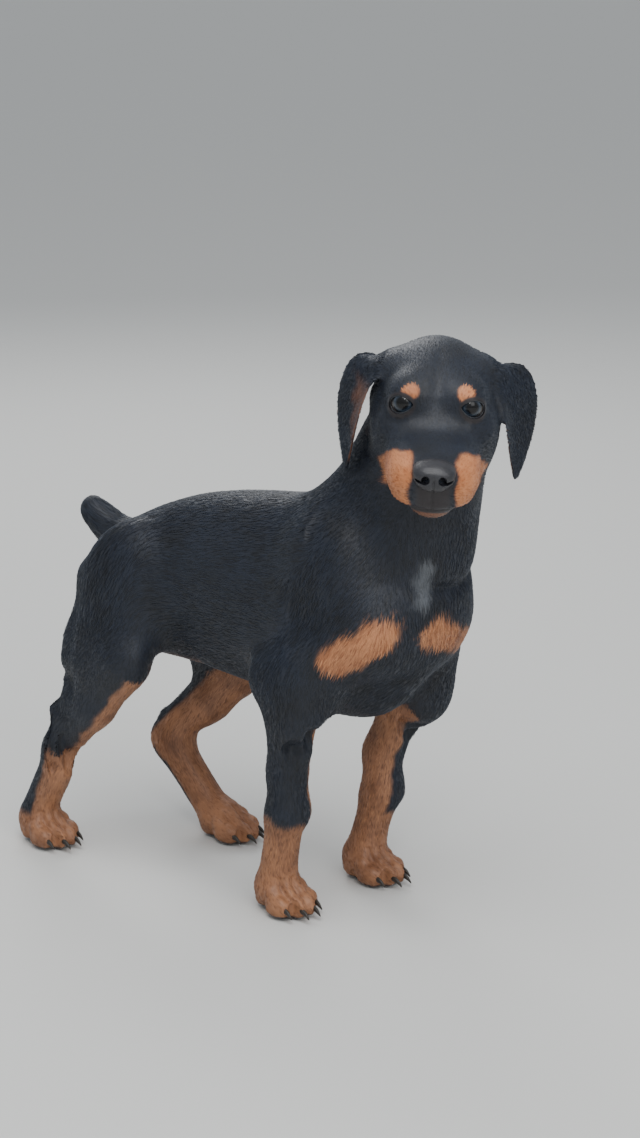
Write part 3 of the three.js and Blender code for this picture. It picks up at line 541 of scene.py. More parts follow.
def markings(points, normals):
    """For each point: tan, dark bare skin, pale hairs, and how bright the tan is, each 0 to 1; under the
    chin the tan is painted darker and duller as shade.
    """
    model = model_mm(points)
    u, v, w = head_mm(model).T
    aside = np.abs(v)
    waver = 0.7 * wobble(model)
    near_head = 1 - ramp(np.linalg.norm(np.stack([u - 20, v, w], axis=1), axis=1), 92, 104)
    tan = np.zeros(len(points))

    # Muzzle and cheeks, open above for the black bridge, and the spot over each eye
    low = ramp(MUZZLE_TAN_EDGE[0] + MUZZLE_TAN_EDGE[1] * u - w + waver, -1.5, 2.5)
    beside = ramp(aside + waver, BLACK_BRIDGE - 1.5, BLACK_BRIDGE + 2.0)
    # The chin's tan is mixed half with black: painted shade under the jaw
    shaded_chin_tan = ramp(-w, 41, 44) * ramp(u, 44, 56) * 0.5
    muzzle = np.maximum(low * beside * ramp(u + waver, 20, 27), shaded_chin_tan) * (1 - ramp(-w + waver, 50, 56))
    brow = np.linalg.norm(np.stack([u, aside, w], axis=1) - BROW_SPOT, axis=1) + 0.5 * waver
    brow = 1 - ramp(brow, BROW_SPOT_RADIUS - 1.3, BROW_SPOT_RADIUS + 1.3)
    tan = np.maximum(tan, near_head * np.maximum(muzzle, brow))
    # The tan is clear on the head and dull elsewhere; under the chin it is dulled further, which is painted
    # shade
    bright_tan_less_chin_shade = near_head * (1 - 0.8 * ramp(-w, 43, 47) * (1 - ramp(aside, 18, 26)))

    # Ears: the side against the cheek is a thin dull brown, and the right ear shows a little of it
    head_normals = normals @ np.array(HEAD_TURN)
    facing = np.where(v < 0, 0.75, 0.0) * head_normals[:, 0] - np.sign(v) * head_normals[:, 1]
    inner_ear = near_head * ramp(aside, 45, 50) * ramp(facing, 0.35, 0.8)
    inner_ear = inner_ear * (1 - ramp(w, 12, 22)) * ramp(w, -50, -40)
    tan = np.maximum(tan, 0.33 * inner_ear)
    ahead_of_ear = ramp(head_normals[:, 0], 0.0, 0.4) * (v < 0)
    lining = ramp(aside, 44, 47) * (1 - ramp(aside + waver, 54, 59))
    lining = lining * (1 - ramp(w, 2, 14)) * ramp(w, -32, -24)
    tan = np.maximum(tan, 0.3 * near_head * ahead_of_ear * lining * ramp(u, -32, -26))

    for start, end, radius in CHEST_PATCHES:
        _, offset = along_bone(model, start, end)
        patch = 1 - ramp(np.linalg.norm(offset, axis=1) + waver, radius - 2.5, radius + 2.5)
        tan = np.maximum(tan, patch)
        bright_tan_less_chin_shade = np.maximum(bright_tan_less_chin_shade, 0.45 * patch)
    tail_patch = np.linalg.norm(model - UNDER_TAIL[0], axis=1) + waver
    tan = np.maximum(tan, 0.9 * (1 - ramp(tail_patch, UNDER_TAIL[1] - 3, UNDER_TAIL[1] + 3)))

    x, y, z = model.T
    for side, elbow, wrist, paw, tan_height in FORELEGS:
        heights = [paw[2], wrist[2], elbow[2]]
        axis_x = np.interp(z, heights, [paw[0], wrist[0], elbow[0]])
        axis_y = np.interp(z, heights, [paw[1], wrist[1], elbow[1]])
        inward = (axis_y - y) * side
        ahead = x - axis_x
        near = (np.hypot(ahead, inward) < 46) * (z < 190)
        edge = z + waver * 1.5 + 0.35 * np.clip(ahead, -14, 14)
        all_round = 1 - ramp(edge, tan_height - 3, tan_height + 4)
        inner = ramp(inward + waver - 0.3 * np.clip(ahead, 0, 20), 1.5, 5.5)
        inner *= 1 - ramp(z + waver, 143, 158)
        inner *= np.hypot(ahead, inward) < 27
        tan = np.maximum(tan, near * np.maximum(all_round, inner))
    for side, hip, knee, hock, ankle, toes in HIND_LEGS:
        nearest = np.full(len(points), 60.0)
        leg_tan = np.zeros(len(points))
        joints = [hip, knee, hock, ankle, toes]
        for bone, (start, end) in enumerate(zip(joints, joints[1:])):
            _, offset = along_bone(model, start, end)
            gap = np.linalg.norm(offset, axis=1)
            run = np.array(end, float) - np.array(start, float)
            ahead_of = np.cross(run, [0.0, 1.0, 0.0])
            ahead_of = ahead_of / np.linalg.norm(ahead_of) * (1 if ahead_of[0] > 0 else -1)
            ahead = offset @ ahead_of
            inward = -(offset[:, 1]) * side
            inner = ramp(inward + waver, 2, 7) * (1 - ramp(z + waver, 150, 178))
            if bone == 0:
                here = inner * 0.85
            elif bone == 1:
                here = np.maximum(inner * ramp(ahead + 14, 0, 5), ramp(ahead + waver + 0.5 * inward, 5, 10))
            elif bone == 2:
                here = np.maximum(ramp(ahead + waver + 0.25 * inward, -7, -3), 1 - ramp(z, 22, 30))
            else:
                here = np.ones(len(points))
            nearer = gap < nearest
            nearest[nearer] = gap[nearer]
            leg_tan[nearer] = here[nearer]
        tan = np.maximum(tan, leg_tan * (z < 200))

    # Bare dark skin: the lids' edges, the lip under the nose, the mouth line and the pads
    gap, _ = from_line(u, w, MOUTH_LINE)
    dark = near_head * (u > 30) * (w > -60) * (1 - ramp(gap, 1.0, 3.2))
    lip = (1 - ramp(aside + 0.5 * waver, 8.5, 13.5)) * ramp(u, 84, 90)
    lip = lip * (1 - ramp(-w, 40, 43)) * ramp(-w, 17, 21)
    dark = np.maximum(dark, near_head * lip)
    for side in (RIGHT, LEFT):
        local = from_eye(points, side)
        ring = np.hypot(local[:, 1] / LID_HALF_WIDTH, local[:, 2] / UPPER_LID)
        on_lids = (local[:, 0] > 0) * (np.linalg.norm(local, axis=1) < 18)
        dark = np.maximum(dark, on_lids * (1 - ramp(ring, 1.12, 1.35)))
    dark = np.maximum(dark, 1 - ramp(z, 1.8, 4.5))
    tan = tan * (1 - dark)

    _, offset = along_bone(model, PALE_HAIRS[0], PALE_HAIRS[1])
    pale = 1 - ramp(np.linalg.norm(offset, axis=1) + 1.5 * waver, PALE_HAIRS[2] - 5, PALE_HAIRS[2] + 3)
    return tan, dark, pale, bright_tan_less_chin_shade


def paint(piece, layers, tones):
    """Keeps the markings and a tone for each point of the piece, for its material to read."""
    tan, dark, pale, bright_tan_less_chin_shade = layers
    colours = piece.data.color_attributes.new("markings", "FLOAT_COLOR", "POINT")
    layers = np.stack([tan, dark, pale, bright_tan_less_chin_shade], axis=1).astype(np.float32)
    colours.data.foreach_set("color", layers.ravel())
    tone = piece.data.attributes.new("tone", "FLOAT", "POINT")
    tone.data.foreach_set("value", tones.astype(np.float32))


PATCH_SIZE = 26 * MM  # a lighter or darker patch of the coat
NAP_SIZE = 1.7 * MM  # hairs are about 0.07 mm, too fine to show, so the nap is drawn coarser
NAP_HEIGHT = 0.5 * MM


# Sleek puppy coat: a soft short nap that looks near black, with a blue-grey gloss where it turns
# to the light; the tan runs from ginger to sand, and fine relief stands in for the single hairs.
def coat_material(name, relief):
    coat = new_material(name)
    where = add_node(coat, "ShaderNodeTexCoord").outputs["Object"]
    marks = add_node(coat, "ShaderNodeAttribute", {"attribute_name": "markings"})
    split = add_node(coat, "ShaderNodeSeparateColor", inputs={"Color": marks.outputs["Color"]})
    tone = add_node(coat, "ShaderNodeAttribute", {"attribute_name": "tone"}).outputs["Fac"]
    drift = add_node(
        coat,
        "ShaderNodeTexNoise",
        inputs={"Vector": where, "Scale": 1 / PATCH_SIZE, "Detail": 3.0, "Roughness": 0.6},
    ).outputs["Fac"]
    nap = add_node(
        coat,
        "ShaderNodeTexNoise",
        inputs={"Vector": where, "Scale": 1 / NAP_SIZE, "Detail": 4.0, "Roughness": 0.65},
    ).outputs["Fac"]
    mottle = add_node(coat, "ShaderNodeMath", {"operation": "MULTIPLY"}, {0: drift, 1: tone}).outputs[0]

    def between(first, second, factor):
        blend = add_node(coat, "ShaderNodeMix", {"data_type": "RGBA"})
        coat.node_tree.links.new(factor, blend.inputs["Factor"])
        for socket, colour in ((blend.inputs[6], first), (blend.inputs[7], second)):
            if isinstance(colour, str):
                socket.default_value = linear(colour)
            else:
                coat.node_tree.links.new(colour, socket)
        return blend.outputs[2]

    def spread(value, low, high, bottom=0.0, top=1.0):
        return add_node(
            coat,
            "ShaderNodeMapRange",
            inputs={"Value": value, "From Min": low, "From Max": high, "To Min": bottom, "To Max": top},
        ).outputs["Result"]

    black = between("#090c13", "#161e2c", spread(mottle, 0.12, 0.42))
    dull_tan = between("#6d4630", "#ab7753", spread(mottle, 0.12, 0.42))
    clear_tan = between("#a35b2e", "#d28c5c", spread(mottle, 0.12, 0.42))
    # The dull tan also gives the painted shade under the chin
    tan = between(dull_tan, clear_tan, marks.outputs["Alpha"])
    colour = between(black, tan, split.outputs["Red"])
    colour = between(colour, "#1d1719", split.outputs["Green"])
    colour = between(colour, "#858a90", spread(split.outputs["Blue"], 0.0, 1.0, 0.0, 0.42))
    hairs = add_node(
        coat, "ShaderNodeBump", inputs={"Height": nap, "Strength": relief, "Distance": NAP_HEIGHT}
    )
    shade = add_node(
        coat,
        "ShaderNodeBsdfPrincipled",
        inputs={
            "Base Color": colour,
            "Roughness": spread(nap, 0.3, 0.7, 0.44, 0.58),
            "Normal": hairs.outputs["Normal"],
            "Specular IOR Level": 0.5,
            "Sheen Weight": 0.12,
            "Sheen Roughness": 0.45,
            "Sheen Tint": linear("#a9b6c8"),
        },
    )
    return finish_material(coat, shade)


paint(skin, markings(points_of(skin), normals_of(skin)), np.full(len(skin.data.vertices), 0.6))
dress(skin, coat_material("Nap close to the skin", 0.4))
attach(skin, "root")
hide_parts(*FLESH)

# Eyes
# Each eye is a wet ball with a clear bulge in front: a wide black pupil in a slate-blue iris,
# as puppies have. It sits in its socket with the lids' dark moist rims lying on it.
GAZE = (0.9, 0.2, 0.25)  # forward, aside and up in the head: the eyes look up past the muzzle
PUPIL, IRIS, CORNEA, CORNEA_BULGE = 3.4, 7.6, 7.0, 0.9
EYE_SPAN = 12.0  # the colours run out to here from the middle of the pupil

# Living eye under a film of tears: the colour lies deep and dull, and the clear film over it
# gives one sharp light
wet_eye = new_material("Wet eye, slate iris")
from_gaze = add_node(wet_eye, "ShaderNodeAttribute", {"attribute_name": "from_gaze"}).outputs["Fac"]
eye_place = add_node(wet_eye, "ShaderNodeTexCoord").outputs["Object"]
fibres = add_node(
    wet_eye, "ShaderNodeTexNoise", inputs={"Vector": eye_place, "Scale": 1 / (1.1 * MM), "Detail": 3.0}
)
bands = add_node(wet_eye, "ShaderNodeValToRGB")
bands.color_ramp.interpolation = "EASE"
for at, colour in (
    (PUPIL / EYE_SPAN, "#020203"),
    (PUPIL / EYE_SPAN + 0.05, "#141a22"),
    (0.45, "#2b3643"),
    (IRIS / EYE_SPAN - 0.06, "#171d25"),
    (IRIS / EYE_SPAN, "#0b0d10"),
    (IRIS / EYE_SPAN + 0.05, "#3c3533"),
):
    band = bands.color_ramp.elements.new(at)
    band.color = linear(colour)
bands.color_ramp.elements[0].color = linear("#020203")
bands.color_ramp.elements[-1].color = linear("#7a6d66")
ring_share = add_node(wet_eye, "ShaderNodeMath", {"operation": "DIVIDE"}, {0: from_gaze, 1: EYE_SPAN})
wet_eye.node_tree.links.new(ring_share.outputs[0], bands.inputs["Fac"])
flecks = add_node(
    wet_eye,
    "ShaderNodeMapRange",
    inputs={
        "Value": fibres.outputs["Fac"],
        "From Min": 0.3,
        "From Max": 0.7,
        "To Min": 0.75,
        "To Max": 1.25,
    },
)
iris_colour = add_node(wet_eye, "ShaderNodeVectorMath", {"operation": "SCALE"}, {0: bands.outputs["Color"]})
wet_eye.node_tree.links.new(flecks.outputs["Result"], iris_colour.inputs["Scale"])
wet_shade = add_node(
    wet_eye,
    "ShaderNodeBsdfPrincipled",
    inputs={
        "Base Color": iris_colour.outputs[0],
        "Roughness": 0.35,
        "Specular IOR Level": 0.15,
        "Coat Weight": 1.0,
        "Coat IOR": 1.34,
        "Coat Roughness": 0.03,
    },
)
finish_material(wet_eye, wet_shade)

# Moist dark lid margin: bare skin, near black, smooth and shining where the tears lie
moist_rim = new_material("Moist lid margin")
rim_place = add_node(moist_rim, "ShaderNodeTexCoord").outputs["Object"]
rim_grain = add_node(moist_rim, "ShaderNodeTexNoise", inputs={"Vector": rim_place, "Scale": 1 / (0.8 * MM)})
rim_bump = add_node(
    moist_rim,
    "ShaderNodeBump",
    inputs={"Height": rim_grain.outputs["Fac"], "Strength": 0.3, "Distance": 0.1 * MM},
)
rim_tone = add_node(
    moist_rim,
    "ShaderNodeMix",
    {"data_type": "RGBA"},
    {"Factor": rim_grain.outputs["Fac"], 6: linear("#14161a"), 7: linear("#33373f")},
)
rim_shade = add_node(
    moist_rim,
    "ShaderNodeBsdfPrincipled",
    inputs={
        "Base Color": rim_tone.outputs[2],
        "Roughness": 0.28,
        "Normal": rim_bump.outputs["Normal"],
        "Coat Weight": 0.6,
        "Coat Roughness": 0.12,
    },
)
finish_material(moist_rim, rim_shade)

for side, eye_node in ((RIGHT, "right_eye"), (LEFT, "left_eye")):
    gaze = (HEAD_TURN @ Vector((GAZE[0], GAZE[1] * side, GAZE[2]))).normalized()
    bpy.ops.object.select_all(action="DESELECT")
    bpy.ops.mesh.primitive_uv_sphere_add(segments=64, ring_count=56, radius=1)
    eyeball = bpy.context.active_object
    eyeball.name = eye_node + "ball"
    ball = points_of(eyeball)
    from_axis = np.where(ball[:, 2] > 0, np.hypot(ball[:, 0], ball[:, 1]) * EYE_RADIUS, EYE_SPAN)
    bulge = CORNEA_BULGE * np.clip(1 - (from_axis / CORNEA) ** 2, 0, 1)
    ball = ball * (EYE_RADIUS + bulge)[:, None]
    turn = np.array(gaze.to_track_quat("Z", "Y").to_matrix())
    middle = np.array(in_head(EYE_FORWARD, EYE_ASIDE * side, EYE_UP))
    set_points(eyeball, middle + ball @ turn.T * MM)
    held = eyeball.data.attributes.new("from_gaze", "FLOAT", "POINT")
    held.data.foreach_set("value", from_axis.astype(np.float32))
    only(eyeball)
    bpy.ops.object.shade_smooth()
    dress(eyeball, wet_eye)
    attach(eyeball, "root")
    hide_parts(eye_node)

    bpy.ops.object.select_all(action="DESELECT")
    bpy.ops.mesh.primitive_torus_add(major_segments=96, minor_segments=12, major_radius=1, minor_radius=0.1)
    rim = bpy.context.active_object
    rim.name = eye_node + "_lid_margin"
    loop = points_of(rim)
    angle = np.arctan2(loop[:, 1], loop[:, 0])
    thick = (np.hypot(loop[:, 0], loop[:, 1]) - 1) * 9.5
    lift = loop[:, 2] * 8.5
    across, up = almond(angle, side)
    reach = np.hypot(across, up)
    across, up = across * (1 + thick / reach), up * (1 + thick / reach)
    out = np.sqrt(np.clip((EYE_RADIUS + 0.35) ** 2 - across**2 - up**2, 4, None)) + lift
    set_points(rim, in_eye(np.stack([out, across, up], axis=1), side))
    face_outwards(rim)
    bpy.ops.object.shade_smooth()
    dress(rim, moist_rim)
    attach(rim, "root")

# Nose
# The nose pad is bare black leather, pebbled like a fine hide, damp, with two comma-shaped
# nostrils and a groove down its middle. It is set into the end of the muzzle.
PEBBLE_SIZE = 0.95 * MM

nose_leather = new_material("Damp pebbled nose leather")
nose_place = add_node(nose_leather, "ShaderNodeTexCoord").outputs["Object"]
pebbles = add_node(
    nose_leather, "ShaderNodeTexVoronoi", inputs={"Vector": nose_place, "Scale": 1 / PEBBLE_SIZE}
)
nose_drift = add_node(
    nose_leather, "ShaderNodeTexNoise", inputs={"Vector": nose_place, "Scale": 1 / (5 * MM)}
)
nose_bump = add_node(
    nose_leather,
    "ShaderNodeBump",
    {"invert": True},
    {"Height": pebbles.outputs["Distance"], "Strength": 0.7, "Distance": 0.25 * MM},
)
nose_tone = add_node(
    nose_leather,
    "ShaderNodeMix",
    {"data_type": "RGBA"},
    {"Factor": nose_drift.outputs["Fac"], 6: linear("#131317"), 7: linear("#2b2b31")},
)
nose_shade = add_node(
    nose_leather,
    "ShaderNodeBsdfPrincipled",
    inputs={
        "Base Color": nose_tone.outputs[2],
        "Roughness": 0.42,
        "Normal": nose_bump.outputs["Normal"],
        "Coat Weight": 0.25,
        "Coat Roughness": 0.3,
    },
)
finish_material(nose_leather, nose_shade)

# A squared, flat-topped lump, broadest at the nostrils' wings
nose = clay((1, 1, 1), Vector((0, 0, 0)))
nose.name = "nose_pad"
lump = points_of(nose) / MM
u, v, w = lump.T
square = (np.abs(v) ** 2.7 + np.abs(w) ** 2.7 + np.abs(u) ** 2.7) ** (-1 / 2.7)
u, v, w = u * square, v * square, w * square
v = v * np.interp(w, [-1, -0.2, 0.5, 1], [0.72, 0.97, 1.0, 0.86])
w = np.where(w > 0, w * 0.82, w)
pad = np.stack([93.0 + 10.8 * u, 14.8 * v, -14.6 + 10.4 * w - 1.2 * u], axis=1)
set_points(nose, np.array(SHIFT) + (np.array(HEAD_CENTRE) + pad @ np.array(HEAD_TURN).T) * MM)
even_out = nose.modifiers.new("Even out", "REMESH")
even_out.mode = "VOXEL"
even_out.voxel_size = 0.45 * MM
apply_modifiers(nose)
NOSTRIL_CUTS = [
    # radii, place in the head for the left nostril, turn about up and about forward in degrees
    ((5.5, 2.7, 3.0), (103.0, 5.8, -15.3), 24, 18),
    ((7.0, 4.6, 1.1), (101.5, 9.6, -17.2), 40, 14),
]
for side in (RIGHT, LEFT):
    for radii, spot, about_up, about_forward in NOSTRIL_CUTS:
        turn = Matrix.Rotation(math.radians(about_up * side), 3, "Z")
        turn = turn @ Matrix.Rotation(math.radians(about_forward * side), 3, "X")
        bore = clay(radii, in_head(spot[0], spot[1] * side, spot[2]), HEAD_TURN @ turn)
        cut_out(nose, bore, "Open the nostril")
blend_again = nose.modifiers.new("Even out again", "REMESH")
blend_again.mode = "VOXEL"
blend_again.voxel_size = 0.42 * MM
rub = nose.modifiers.new("Rub smooth", "SMOOTH")
rub.factor = 0.5
rub.iterations = 7
apply_modifiers(nose)
furrow = head_mm(model_mm(points_of(nose)))
depth = 0.9 * swell_of(furrow[:, 1], 0.8) * ramp(furrow[:, 0], 98, 101) * ramp(-furrow[:, 2], 12, 16)
set_points(nose, points_of(nose) - normals_of(nose) * (depth * MM)[:, None])
only(nose)
bpy.ops.object.shade_smooth()
dress(nose, nose_leather)
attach(nose, "root")
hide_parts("nose")

# Claws
# Four to a paw, of dark horn: each a short curved cone, flattened at the sides and blunt from
# walking, growing out of the end of its toe.
CLAW_LENGTH, CLAW_THICKNESS, CLAW_ROOT = 7.6, 2.1, 3.5
CLAW_DROP = math.radians(14)

horn = new_material("Dark claw horn")
horn_place = add_node(horn, "ShaderNodeTexCoord").outputs["Object"]
horn_grain = add_node(
    horn, "ShaderNodeTexNoise", inputs={"Vector": horn_place, "Scale": 1 / (1.4 * MM), "Detail": 3.0}
)
horn_tone = add_node(
    horn,
    "ShaderNodeMix",
    {"data_type": "RGBA"},
    {"Factor": horn_grain.outputs["Fac"], 6: linear("#15120f"), 7: linear("#3a322b")},
)
horn_bump = add_node(
    horn,
    "ShaderNodeBump",
    inputs={"Height": horn_grain.outputs["Fac"], "Strength": 0.3, "Distance": 0.15 * MM},
)
horn_shade = add_node(
    horn,
    "ShaderNodeBsdfPrincipled",
    inputs={"Base Color": horn_tone.outputs[2], "Roughness": 0.34, "Normal": horn_bump.outputs["Normal"]},
)
finish_material(horn, horn_shade)

for paw in PAWS:
    claws = []
    for along, across, radius in TOES:
        bpy.ops.object.select_all(action="DESELECT")
        bpy.ops.mesh.primitive_uv_sphere_add(segments=20, ring_count=24, radius=1)
        claw = bpy.context.active_object
        shape = points_of(claw)
        share = (shape[:, 2] + 1) / 2  # from the root to the tip
        width = np.interp(share, [0, 0.15, 0.6, 0.93, 1], [0.6, 1.0, 0.72, 0.3, 0.0])
        spoke = np.maximum(np.hypot(shape[:, 0], shape[:, 1]), 1e-6)
        out = share * (CLAW_LENGTH + CLAW_ROOT) - CLAW_ROOT
        sideways = shape[:, 0] / spoke * width * CLAW_THICKNESS * 0.82
        upward = shape[:, 1] / spoke * width * CLAW_THICKNESS * 1.1 - 0.045 * np.clip(out, 0, None) ** 2
        forward = along + radius * 1.33 + out * math.cos(CLAW_DROP) + upward * math.sin(CLAW_DROP)
        height = 8.6 - out * math.sin(CLAW_DROP) + upward * math.cos(CLAW_DROP)
        base = np.array(paw_place(paw, 0, 0, 0))
        ahead = np.array(paw_place(paw, 1, 0, 0)) - base
        beside = np.array(paw_place(paw, 0, 1, 0)) - base
        place_of = base + np.outer(forward, ahead) + np.outer(across * 1.05 + sideways, beside)
        place_of[:, 2] += np.maximum(height, 0.6) * MM
        set_points(claw, place_of)
        claws.append(claw)
    only(*claws)
    bpy.ops.object.join()
    face_outwards(claws[0])
    bpy.ops.object.shade_smooth()
    claws[0].name = paw[0] + "_claws"
    dress(claws[0], horn)
    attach(claws[0], "root")

# Coat
# Short, close hair in thin tapered locks, a few millimetres long, rooted in the skin and lying
# along the body from nose to tail and down the legs. It is shortest on the face and feet.
H = "head"
LIE = [
    # start and end of each stroke of the lie; a third entry H means places in the head
    ((98, 0, -2), (46, 0, 2), H),
    ((90, 17, -14), (48, 27, -10), H),
    ((90, -17, -14), (48, -27, -10), H),
    ((88, 16, -30), (46, 28, -32), H),
    ((88, -16, -30), (46, -28, -32), H),
    ((92, 0, -44), (40, 0, -52), H),
    ((48, 0, 14), (0, 0, 38), H),
    ((40, 22, 22), (-5, 30, 30), H),
    ((40, -22, 22), (-5, -30, 30), H),
    ((36, 34, -6), (-20, 42, -10), H),
    ((36, -34, -6), (-20, -42, -10), H),
    ((0, 0, 38), (-48, 0, 22), H),
    ((30, 30, -38), (-20, 34, -44), H),
    ((30, -30, -38), (-20, -34, -44), H),
    ((-12, 44, 26), (0, 60, -52), H),
    ((-12, -44, 26), (0, -60, -52), H),
    ((-48, 0, 10), (-70, 0, -40), H),
    ((100, 25, 370), (40, 28, 318), None),
    ((100, -25, 370), (40, -28, 318), None),
    ((130, 32, 335), (90, 62, 262), None),
    ((118, -52, 335), (85, -66, 262), None),
    ((165, -20, 320), (158, -12, 232), None),
    ((60, 0, 320), (-60, 0, 310), None),
    ((-60, 0, 310), (-140, 0, 262), None),
    ((70, 62, 285), (-50, 66, 268), None),
    ((70, -62, 285), (-50, -66, 268), None),
    ((60, 58, 230), (-50, 58, 232), None),
    ((60, -58, 230), (-50, -58, 232), None),
    ((120, 0, 200), (0, 0, 192), None),
    ((0, 0, 192), (-90, 0, 222), None),
    ((98, 62, 240), (92, 54, 178), None),
    ((75, -66, 240), (62, -58, 178), None),
    ((96, 52, 174), (68, 50, 76), None),
    ((64, -57, 178), (53, -49, 84), None),
    ((68, 50, 76), (62, 45, 26), None),
    ((53, -49, 84), (45, -46, 26), None),
    ((62, 45, 22), (92, 42, 6), None),
    ((45, -46, 22), (76, -52, 6), None),
    ((-90, 50, 285), (-96, 56, 200), None),
    ((-90, -50, 285), (-110, -56, 215), None),
    ((-80, 60, 170), (-141, 50, 74), None),
    ((-98, -58, 185), (-167, -51, 86), None),
    ((-141, 50, 74), (-98, 48, 26), None),
    ((-167, -51, 86), (-195, -46, 26), None),
    ((-96, 48, 22), (-55, 46, 6), None),
    ((-195, -46, 22), (-160, -51, 6), None),
    ((-150, 0, 250), (-172, -3, 268), None),
    ((-158, 0, 235), (-130, 0, 190), None),
]


def lie_strokes():
    strokes = []
    for start, end, held in LIE:
        if held:
            strokes.append((model_mm(np.array(in_head(*start))), model_mm(np.array(in_head(*end)))))
        else:
            strokes.append((np.array(start, float), np.array(end, float)))
    return strokes


def comb(points, normals):
    """The way the hair lies at each point, and each point's place on a chart of the skin."""
    model = model_mm(points)
    pull = np.zeros_like(points)
    nearest = np.full(len(points), 1e9)
    chart = np.zeros((len(points), 2))
    columns = 7
    for number, (start, end) in enumerate(lie_strokes()):
        t, offset = along_bone(model, start, end)
        gap = np.linalg.norm(offset, axis=1)
        run = (end - start) / np.linalg.norm(end - start)
        pull += run * (1 / (gap**2 + 16) ** 2)[:, None]
        side_on = np.cross(run, [0.31, 0.17, 0.93])
        side_on /= np.linalg.norm(side_on)
        angle = np.arctan2(offset @ np.cross(run, side_on), offset @ side_on) / (2 * math.pi) + 0.5
        cell = np.array([number % columns, number // columns], float)
        spot = (cell + 0.05 + 0.9 * np.stack([angle, t], axis=1)) / columns
        nearer = gap < nearest
        nearest[nearer] = gap[nearer]
        chart[nearer] = spot[nearer]
    pull -= normals * np.sum(pull * normals, axis=1)[:, None]
    return pull / np.maximum(np.linalg.norm(pull, axis=1), 1e-12)[:, None], chart


skin.data.calc_loop_triangles()
corners = np.empty(len(skin.data.loop_triangles) * 3, dtype=np.int32)
skin.data.loop_triangles.foreach_get("vertices", corners)
corners = corners.reshape(-1, 3)
skin_points, skin_normals = points_of(skin), normals_of(skin)
a, b, c = (skin_points[corners[:, n]] for n in range(3))
areas = np.linalg.norm(np.cross(b - a, c - a), axis=1) / 2
centres = (a + b + c) / 3
centre_model = model_mm(centres)
centre_head = head_mm(centre_model)
headward = np.linalg.norm(centre_head - [20, 0, 0], axis=1) < 88
on_ears = (np.abs(centre_head[:, 1]) > 44) & (np.linalg.norm(centre_head, axis=1) < 110)
headward |= on_ears & (centre_head[:, 0] < 40)
low_front = (centre_model[:, 0] > 0) & (centre_model[:, 2] < 190) & ~headward
low_front &= np.abs(centre_model[:, 1]) > np.interp(centre_model[:, 2], [0, 150, 190], [0, 8, 30])
low_back = (centre_model[:, 0] < -40) & (centre_model[:, 2] < 200) & ~headward
low_back &= np.abs(centre_model[:, 1]) > 12
forward_half = centre_model[:, 0] > 55
COAT_AREAS = [
    # name, faces of the skin it grows on, space between locks, shortest and longest, width
    ("head_coat", headward, 1.7, (2.4, 4.4), 0.6),
    ("foreleg_coat", low_front, 1.9, (3.2, 5.2), 0.65),
    ("hind_leg_coat", low_back, 2.0, (3.4, 5.6), 0.65),
    ("neck_and_chest_coat", ~headward & ~low_front & ~low_back & forward_half, 2.2, (5.5, 8.5), 0.75),
    ("back_and_flank_coat", ~headward & ~low_front & ~low_back & ~forward_half, 2.5, (6.5, 9.5), 0.8),
]
near_skin = BVHTree.FromPolygons(skin_points.tolist(), corners.tolist())
lock_material = coat_material("Sleek puppy coat", 0.15)
chance = np.random.default_rng(11)
TRIES_TO_A_LOCK = 2.6
ROOT_DEPTH = 0.35 * MM
LOCK_RIDGE = 0.2 * MM  # a lock is this much thicker along its middle
SKIN_SHARE = 0.8  # of the skin's own normal in the way that a lock takes the light


def nearest_on_skin(points):
    found = [near_skin.find_nearest(point)[:2] for point in points.tolist()]
    return np.array([spot for spot, _ in found]), np.array([normal for _, normal in found])


